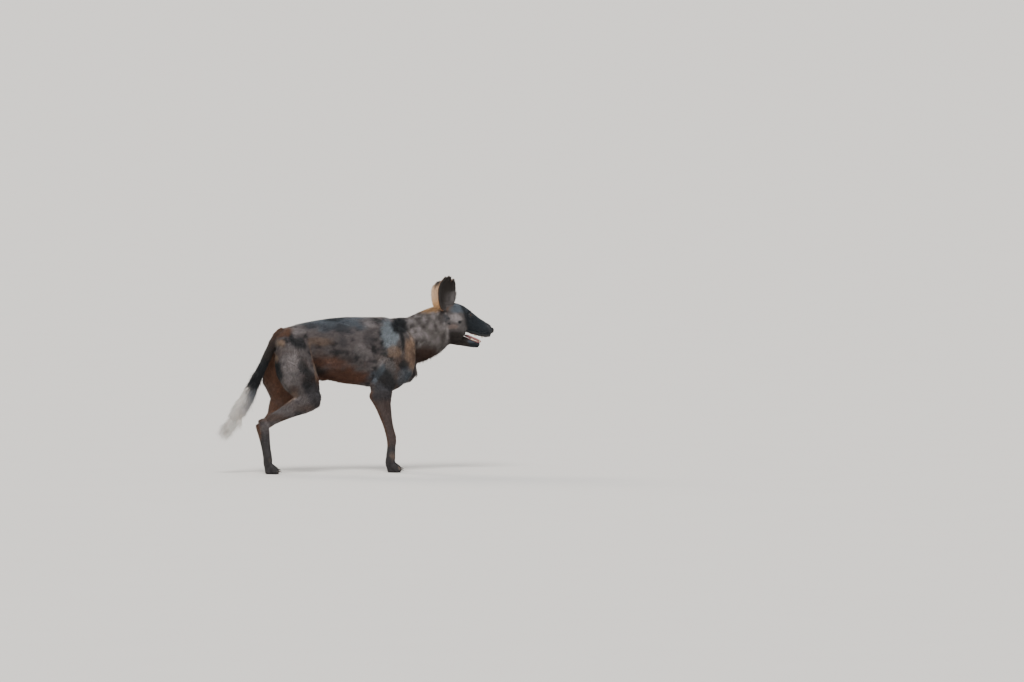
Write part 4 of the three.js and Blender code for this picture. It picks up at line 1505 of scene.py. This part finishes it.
@dataclass
class CoatPiece:
    """One part of the coat: many thin closed tufts, joined into one mesh.

    `long` and `fine` scale a tuft's length and width. `lift` is the least and `most` the greatest share of
    its length by which it stands up. `tone` replaces the markings, `root_tone` darkens the roots as painted
    shade deep in the coat, and `variety` is how much tufts differ in lightness.
    """

    name: str
    regions: tuple[Region, ...]
    cut: Cut
    tufts: int
    side: Flank = Flank.BOTH
    seed: int = 1
    slot: str = "coat"
    mask: str | None = None
    long: float = 1.0
    fine: float = 1.0
    lift: float = 0.0
    tone: Tone | None = None
    root_tone: float = 0.74
    most: float = 0.62
    variety: float = 1.0

    # How deep a root is set in the skin, and how wide a tuft's patch is on the unwrap.
    SINK = 0.6 * MM
    PATCH = 0.003

    def build(self, skin: Skin, finish: bpy.types.Material) -> None:
        """Grows the piece on the skin.

        Args:
            skin: The finished skin.
            finish: The hair's material.
        """
        rng = np.random.default_rng(SEED + self.seed)
        count = self.tufts // 4 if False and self.tufts > 5000 else self.tufts
        roots = self._roots(skin, rng, count)
        points, colours, spots = self._shape(roots, rng)
        mesh = bpy.data.meshes.new(self.name)
        loops, sizes, corners = self._faces(len(roots["place"]))
        fill_mesh(mesh, points, loops, sizes)
        set_colours(mesh, "marking", colours)
        layer = mesh.uv_layers.new(name="OFBake")
        layer.data.foreach_set("uv", spots[corners].astype(np.float32).ravel())
        place_piece(self.name, mesh, finish, [])

    def _roots(self, skin: Skin, rng: np.random.Generator, count: int) -> dict[str, np.ndarray]:
        """Picks places on the skin and reads there all that a tuft needs."""
        columns = [r.value for r in self.regions]
        want = skin.share[:, columns].sum(1)
        if self.side is not Flank.BOTH:
            want = want * (skin.points[:, 1] * self.side.value > 0)
        want = want * skin.hairy
        if self.mask:
            want = want * skin.masks[self.mask]
        corners = skin.points[skin.triangles]
        area = np.linalg.norm(np.cross(corners[:, 1] - corners[:, 0], corners[:, 2] - corners[:, 0]), axis=1)
        weight = area * want[skin.triangles].mean(1)
        weight = np.where(want[skin.triangles].min(1) > 0.02, weight, 0)
        total = np.cumsum(weight)
        ticks = (np.arange(count) + rng.random(count)) / count * total[-1]
        face = np.searchsorted(total, ticks)
        split = rng.random((count, 2))
        over = split.sum(1) > 1
        split[over] = 1 - split[over]
        bary = np.column_stack([1 - split.sum(1), split])
        triangle = skin.triangles[face]

        def read(values: np.ndarray) -> np.ndarray:
            """Mixes the values of the three corners."""
            picked = values[triangle]
            share = bary if picked.ndim == 2 else bary[:, :, None]
            return (picked * share).sum(1)

        return {
            "place": read(skin.points),
            "normal": unit(read(skin.normals)),
            "flow": unit(read(skin.flow)),
            "length": read(skin.length),
            "width": read(skin.width),
            "room": read(skin.room),
            "stray": read(skin.stray),
            "colour": read(skin.colours),
            "spot": (skin.unwrapped[face] * bary[:, :, None]).sum(1),
        }

    def _shape(
        self, roots: dict[str, np.ndarray], rng: np.random.Generator
    ) -> tuple[np.ndarray, np.ndarray, np.ndarray]:
        """Works out the vertices, colours and unwrapped places of all tufts.

        Args:
            roots: What was read at each root.
            rng: The seeded source of the tufts' variety.

        Returns:
            The vertices, their colours and their unwrapped places.
        """
        count = len(roots["place"])
        normal = roots["normal"]
        turn = rng.normal(0, 1, count) * roots["stray"]
        side = np.cross(normal, roots["flow"])
        flow = roots["flow"] * np.cos(turn)[:, None] + side * np.sin(turn)[:, None]
        side = np.cross(normal, flow)
        length = roots["length"] * self.long * rng.uniform(0.65, 1.2, count)
        width = roots["width"] * self.fine * rng.uniform(0.7, 1.3, count)
        stand = np.clip(roots["room"] * rng.uniform(0.45, 1.05, count), 0.6 * MM, self.most * length)
        stand = np.maximum(stand, self.lift * length)
        bends = self.cut.value
        stations = [i / (bends + 1) for i in range(bends + 1)]
        rows, tints, spots = [], [], []
        base = roots["place"] - normal * self.SINK
        low = roots["spot"] - self.PATCH / 2
        curl = rng.normal(0, 0.12, count) * length
        shade = rng.normal(1.0, 0.14, count)
        kind = rng.random(count)
        shade = np.where(kind < 0.1, shade * 0.55, np.where(kind > 0.94, shade * 1.5, shade))
        shade = 1 + (shade - 1) * self.variety
        if self.tone:
            roots["colour"] = np.tile(self.tone.rgb, (count, 1))
        flat = np.sqrt(np.maximum(length**2 - stand**2, (0.3 * length) ** 2))

        def along(share: float) -> np.ndarray:
            """The tuft's middle line: up at first, then lying down along the coat."""
            rise = stand * (1 - (1 - share) ** 1.7) + self.SINK * share
            ahead = flat * share
            bow = curl * share * share
            return base + flow * ahead[:, None] + normal * rise[:, None] + side * bow[:, None]

        for share in stations:
            middle = along(share)
            half = (0.5 * width * (1 - 0.45 * share))[:, None]
            thick = (0.28 * width * (1 - 0.5 * share) + (self.SINK if share == 0 else 0))[:, None]
            for across, above in ((1, 0), (-1, 0), (0, 1)):
                rows.append(middle + side * half * across + normal * thick * above)
                # Painted shade and light: each tuft darkens towards its root, deep in the coat, and lightens
                # towards its tip.
                tone = self.root_tone + (1.04 - self.root_tone) * share
                tints.append(roots["colour"] * (shade * tone)[:, None])
                spots.append(low + self.PATCH * np.array([0.5 + 0.5 * across, 0.7 * share + 0.15 * above]))
        rows.append(along(1.0))
        # Painted light: the tip is lightest, where light catches the hair's end.
        tints.append(roots["colour"] * (shade * 1.2)[:, None])
        spots.append(low + self.PATCH * np.array([0.5, 1.0]))
        points = np.stack(rows, axis=1).reshape(-1, 3)
        points[:, 2] = np.maximum(points[:, 2], 0.4 * MM)
        colours = np.clip(np.stack(tints, axis=1).reshape(-1, 3), 0.002, 1)
        return points, colours, np.clip(np.stack(spots, axis=1).reshape(-1, 2), 0, 1)

    def _faces(self, count: int) -> tuple[np.ndarray, np.ndarray, np.ndarray]:
        """The faces of all tufts: a back, three sides for each stretch, and a pointed end."""
        bends = self.cut.value
        left, right, top = 0, 1, 2
        pattern = [[left, right, top]]
        for ring in range(bends):
            here, there = 3 * ring, 3 * ring + 3
            pattern.append([here + left, here + top, there + top, there + left])
            pattern.append([here + right, there + right, there + top, here + top])
            pattern.append([here + left, there + left, there + right, here + right])
        last, tip = 3 * bends, 3 * bends + 3
        pattern.append([last + left, last + top, tip])
        pattern.append([last + right, tip, last + top])
        pattern.append([last + left, tip, last + right])
        flat = np.concatenate([np.array(face) for face in pattern])
        sizes = np.array([len(face) for face in pattern])
        step = tip + 1
        loops = (flat[None, :] + step * np.arange(count)[:, None]).ravel()
        return loops, np.tile(sizes, count), loops


COAT = [
    CoatPiece("coat_trunk_right", (Region.TRUNK,), Cut.STRAIGHT, 47000, Flank.RIGHT, 1),
    CoatPiece("coat_trunk_left", (Region.TRUNK,), Cut.STRAIGHT, 47000, Flank.LEFT, 2),
    CoatPiece("coat_quarters", (Region.UPPER_ARM, Region.THIGH), Cut.STRAIGHT, 48000, seed=3),
    CoatPiece("coat_legs", (Region.FOREARM, Region.LOWER_LEG, Region.PAW), Cut.STRAIGHT, 46000, seed=4),
    CoatPiece("coat_head", (Region.HEAD, Region.JAW, Region.EAR, Region.NOSE), Cut.STRAIGHT, 47500, seed=5),
    CoatPiece("coat_neck_right", (Region.NECK,), Cut.BENT, 16500, Flank.RIGHT, 6),
    CoatPiece("coat_neck_left", (Region.NECK,), Cut.BENT, 16500, Flank.LEFT, 7),
    CoatPiece(
        "coat_tail",
        (Region.TAIL,),
        Cut.BENT,
        19600,
        seed=8,
        slot="tail_brush",
        root_tone=1.0,
        most=0.4,
        variety=0.35,
    ),
    CoatPiece(
        "ear_fringe",
        (Region.EAR,),
        Cut.BENT,
        1100,
        seed=9,
        mask="fringe",
        long=2.2,
        fine=0.7,
        lift=0.25,
        tone=Tone.GREY,
    ),
    CoatPiece(
        "whiskers",
        (Region.HEAD,),
        Cut.FLOWING,
        44,
        seed=10,
        mask="whiskers",
        long=4.5,
        fine=0.45,
        lift=0.6,
        tone=Tone.BLACK,
    ),
]


@dataclass
class Eye:
    """An eyeball with its clear front bulged a little."""

    side: str
    bulge: float = 0.5 * MM

    def build(self) -> None:
        """Makes the ball, turns its pole to where it looks and marks its rings."""
        sign = SIDES[self.side]
        node = f"eye_{self.side}"
        look = Vector(eye_axes(sign)[0])
        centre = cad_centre(node) - EYE_SINK * look
        radius = EYE_RADIUS
        shape = bmesh.new()
        bmesh.ops.create_uvsphere(shape, u_segments=40, v_segments=32, radius=radius)
        for vert in shape.verts:
            share = math.acos(max(-1.0, min(1.0, vert.co.z / radius))) / (math.pi / 2)
            vert.co += vert.co.normalized() * self.bulge * max(0.0, 1 - (share / 0.6) ** 2)
        turn = look.to_track_quat("Z", "Y").to_matrix().to_4x4()
        bmesh.ops.transform(shape, matrix=Matrix.Translation(centre) @ turn, verts=shape.verts)
        mesh = bpy.data.meshes.new(node + "_ball")
        shape.to_mesh(mesh)
        shape.free()
        offset = unit(vertex_points(mesh) - np.array(centre))
        ring = np.arccos(np.clip(offset @ np.array(look), -1, 1)) / (math.pi / 2)
        set_values(mesh, "ring", np.clip(ring, 0, 1))
        mesh.polygons.foreach_set("use_smooth", np.ones(len(mesh.polygons), bool))
        place_piece(node + "_ball", mesh, EyeFinish().material(), [node])


def horn_shape(
    shape: bmesh.types.BMesh,
    foot: Vector,
    tip: Vector,
    radius: float,
    bow: Vector,
    flat: float = 0.8,
    along: Vector | None = None,
    stretch: float = 1.0,
) -> None:
    """Adds a tapered, bowed spike such as a tooth or a claw.

    Args:
        shape: The mesh being built.
        foot: The middle of its root.
        tip: Its point.
        radius: Its radius at the root.
        bow: How far its middle is pushed aside.
        flat: Its width over its depth.
        along: A direction in which it is made longer, as a cheek tooth is along its jaw.
        stretch: How many times longer it is in that direction.
    """
    made = bmesh.ops.create_uvsphere(shape, u_segments=10, v_segments=9, radius=1.0)["verts"]
    turn = (tip - foot).to_track_quat("Z", "Y").to_matrix()
    length = (tip - foot).length
    for vert in made:
        share = (vert.co.z + 1) / 2
        ring = math.hypot(vert.co.x, vert.co.y)
        taper = (1 - share**1.6) * min(1.0, share * 8 + 0.4)
        scale = radius * taper / max(ring, 1e-6) * min(1.0, ring * 3)
        local = Vector((vert.co.x * scale * flat, vert.co.y * scale, share * length))
        vert.co = turn @ local
        if along:
            vert.co += along * (vert.co.dot(along) * (stretch - 1))
        vert.co += foot + bow * (4 * share * (1 - share))


@dataclass
class TeethRow:
    """One row of teeth in its gum, on the path that the CAD row follows."""

    node: str
    up: int
    tuck: float = 0.0
    canine: float = 12 * MM
    cheek_tooth: float = 6.0 * MM
    incisor: float = 4.0 * MM

    def build(self) -> None:
        """Makes the gum and the teeth and shows them in place of the CAD row."""
        low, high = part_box(self.node)
        half = (high.y - low.y) / 2 - 4 * MM
        enamel, flesh = bmesh.new(), bmesh.new()
        points, _faces = node_shape(self.node)
        front_x = float(points[:, 0].max()) - 9 * MM
        back_x = float(points[:, 0].min()) + (6 * MM if self.up > 0 else 16 * MM)
        narrow = 0.55 * half

        def path(share: float, sign: int) -> Vector:
            """A point on the gum's middle line, from the front to the back."""
            x = front_x + (back_x - front_x) * share
            y = sign * (narrow + (half - narrow) * share)
            near = points[np.abs(points[:, 0] - x) < 12 * MM]
            edge = near[:, 2].max() if self.up < 0 else near[:, 2].min()
            return Vector((x, y, float(edge) + self.up * (4.5 * MM - self.tuck)))

        for sign in SIDES.values():
            corner = path(0.0, sign)
            self._spike(enamel, corner, self.canine, 2.9 * MM, Vector((-1.5 * MM, 0, 0)))
            jaw = (path(1.0, sign) - path(0.0, sign)).normalized()
            for share, size in ((0.2, 0.8), (0.33, 0.95), (0.48, 1.05), (0.66, 1.35), (0.84, 0.8)):
                foot = path(share, sign)
                self._spike(enamel, foot, self.cheek_tooth * size, 1.9 * MM * size, Vector(), jaw, 2.1)
                for gap in (-3.6, 3.6):
                    beside = foot + jaw * (gap * size * MM)
                    self._spike(enamel, beside, self.cheek_tooth * size * 0.5, 1.5 * MM, Vector(), jaw, 1.3)
            for step in range(3):
                y = sign * (1.6 + 3.0 * step) * MM
                foot = Vector((front_x + (7.0 - step * 1.3) * MM, y, corner.z))
                self._spike(enamel, foot, self.incisor, 1.5 * MM, Vector())
        line = [path(s / 8, -1) for s in range(8, -1, -1)]
        line += [Vector((front_x + 6 * MM, 0, line[-1].z))]
        line += [path(s / 8, 1) for s in range(9)]
        for first, second in zip(line, line[1:]):
            self._gum(flesh, first, second)
        self._show(enamel, self.node + "_enamel", TOOTH.material(), [self.node], "tooth")
        self._show(flesh, self.node + "_gum", GUM.material(), [], None)

    def _spike(
        self,
        shape: bmesh.types.BMesh,
        foot: Vector,
        height: float,
        radius: float,
        bow: Vector,
        along: Vector | None = None,
        stretch: float = 1.0,
    ) -> None:
        """Adds one tooth that leaves the gum straight up or down."""
        start = foot - Vector((0, 0, self.up * 1 * MM))
        tip = foot + Vector((0, 0, self.up * (height + 1.5 * MM)))
        horn_shape(shape, start, tip, radius, bow, 0.9, along, stretch)

    @staticmethod
    def _gum(shape: bmesh.types.BMesh, first: Vector, second: Vector) -> None:
        """Adds one rounded stretch of gum between two points."""
        made = bmesh.ops.create_icosphere(shape, subdivisions=2, radius=2.8 * MM)["verts"]
        along = second - first
        middle = (first + second) / 2
        for vert in made:
            stretch = along * (0.7 * vert.co.dot(along.normalized()) / (2.8 * MM))
            vert.co = middle + vert.co + stretch

    @staticmethod
    def _show(
        shape: bmesh.types.BMesh,
        name: str,
        material: bpy.types.Material,
        nodes: list[str],
        slot: str | None,
    ) -> None:
        """Turns a finished shape into a piece."""
        mesh = bpy.data.meshes.new(name)
        shape.to_mesh(mesh)
        shape.free()
        mesh.polygons.foreach_set("use_smooth", np.ones(len(mesh.polygons), bool))
        place_piece(name, mesh, material, nodes)


@dataclass
class Tongue:
    """The tongue, from its CAD solid made smooth, with a groove down its middle."""

    groove: float = 1.6 * MM

    def build(self) -> None:
        """Smooths the solid and presses in the groove."""
        points, faces = node_shape("tongue")
        mesh = bpy.data.meshes.new("tongue_start")
        fill_mesh(mesh, points, faces.ravel(), np.full(len(faces), 3))
        mesh = with_modifier(mesh, "SUBSURF", {"levels": 3, "render_levels": 3})
        places = vertex_points(mesh)
        normals = vertex_normals(mesh)
        upward = blend_step(0.2, 0.8, normals[:, 2])
        dip = np.exp(-((places[:, 1] / (2.2 * MM)) ** 2)) * upward
        rough = Grain(21, 2.2 * MM)(places) * 0.35 * MM + Grain(22, 9 * MM)(places) * 1.2 * MM
        places[:, 2] += rough * upward - self.groove * dip
        mesh.vertices.foreach_set("co", places.astype(np.float32).ravel())
        mesh.update()
        mesh.polygons.foreach_set("use_smooth", np.ones(len(mesh.polygons), bool))
        mesh.name = "tongue_flesh"
        place_piece("tongue_flesh", mesh, TONGUE.material(), ["tongue"])


@dataclass
class Claws:
    """The four claws of one paw, curved down out of the toes."""

    paw: str
    radius: float = 3.3 * MM

    def build(self, finish: bpy.types.Material) -> None:
        """Makes the paw's claws as one piece."""
        shape = bmesh.new()
        nodes = [f"{self.paw}_claw_{toe}" for toe in ("inner", "second", "third", "outer")]
        for node in nodes:
            low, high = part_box(node)
            y = (low.y + high.y) / 2
            foot = Vector((low.x - 4 * MM, y, high.z - 3 * MM))
            tip = Vector((high.x - 2.5 * MM, y, low.z + 1.2 * MM))
            horn_shape(shape, foot, tip, self.radius, Vector((0, 0, 2.2 * MM)), 0.75)
        mesh = bpy.data.meshes.new(self.paw + "_claws")
        shape.to_mesh(mesh)
        shape.free()
        mesh.polygons.foreach_set("use_smooth", np.ones(len(mesh.polygons), bool))
        place_piece(self.paw + "_claws", mesh, finish, nodes)


@dataclass
class Studio:
    """A plain pale floor, soft light and the camera at the photograph's angle."""

    azimuth: float = -14.0
    elevation: float = 2.5
    lens: float = 400.0
    sensor: float = 36.0
    scale: float = 4.2 * MM
    anchor: Vector = field(default_factory=lambda: Vector((0.0575, -0.0013, 0.0)))
    anchor_pixel: tuple[float, float] = (370.0, 472.0)
    floor_radius: float = 260.0

    def build(self) -> None:
        """Sets the floor, the lights and the camera."""
        self._floor()
        self._lights()
        self._camera()

    def _floor(self) -> None:
        """Lays the floor."""
        shape = bmesh.new()
        bmesh.ops.create_circle(shape, cap_ends=True, segments=64, radius=self.floor_radius)
        mesh = bpy.data.meshes.new("floor")
        shape.to_mesh(mesh)
        shape.free()
        mesh.materials.append(FLOOR.material())
        floor = bpy.data.objects.new("floor", mesh)
        bpy.context.scene.collection.objects.link(floor)

    def _lights(self) -> None:
        """Lights the scene evenly, with one broad soft lamp from the front and a weaker one from behind."""
        world = bpy.data.worlds.new("studio")
        world.use_nodes = True
        ground = world.node_tree.nodes["Background"]
        ground.inputs["Color"].default_value = (0.93, 0.95, 1.0, 1.0)
        ground.inputs["Strength"].default_value = 0.7
        bpy.context.scene.world = world
        for name, direction, power, spread, colour in (
            ("key", (-0.25, -0.7, 1.0), 3.6, 25, (1.0, 0.98, 0.95)),
            ("back", (-0.5, 0.9, 0.6), 1.8, 25, (1.0, 0.92, 0.8)),
        ):
            lamp = bpy.data.lights.new(name, "SUN")
            lamp.energy = power
            lamp.angle = math.radians(spread)
            lamp.color = colour
            holder = bpy.data.objects.new(name, lamp)
            holder.rotation_mode = "QUATERNION"
            holder.rotation_quaternion = Vector(direction).to_track_quat("Z", "Y")
            bpy.context.scene.collection.objects.link(holder)

    def _camera(self) -> None:
        """Aims the long lens so that the animal fills the same part of the frame as in the photograph."""
        a, e = math.radians(self.azimuth), math.radians(self.elevation)
        back = Vector((math.sin(a) * math.cos(e), -math.cos(a) * math.cos(e), math.sin(e)))
        right = Vector((math.cos(a), math.sin(a), 0.0))
        up = back.cross(right)
        shift_right = (IMAGE[0] / 2 - self.anchor_pixel[0]) * self.scale
        shift_up = (self.anchor_pixel[1] - IMAGE[1] / 2) * self.scale
        target = self.anchor + right * shift_right + up * shift_up
        distance = self.scale * IMAGE[0] * self.lens / self.sensor
        camera = bpy.data.cameras.new("camera")
        camera.lens = self.lens
        camera.sensor_width = self.sensor
        camera.clip_end = 500.0
        holder = bpy.data.objects.new("camera", camera)
        holder.location = target + back * distance
        holder.rotation_mode = "QUATERNION"
        holder.rotation_quaternion = back.to_track_quat("Z", "Y")
        bpy.context.scene.collection.objects.link(holder)
        bpy.context.scene.camera = holder


def main() -> None:
    """Builds every sub-assembly in order."""
    logging.basicConfig(level=logging.INFO, format="%(relativeCreated)7.0f ms %(message)s")
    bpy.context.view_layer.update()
    skin = Skin()
    skin.unwrap()
    skin.show()
    hair = CoatFinish().material()
    for piece in COAT:
        piece.build(skin, hair)
    for side in SIDES:
        Eye(side).build()
    TeethRow("upper_teeth", -1, tuck=5 * MM).build()
    TeethRow("lower_teeth", 1, tuck=2.5 * MM).build()
    Tongue().build()
    horn = CLAW.material()
    for paw in ("forepaw_right", "forepaw_left", "hindpaw_right", "hindpaw_left"):
        Claws(paw).build(horn)
    Studio().build()
    LOG.info("done")


if __name__ == "__main__":
    main()
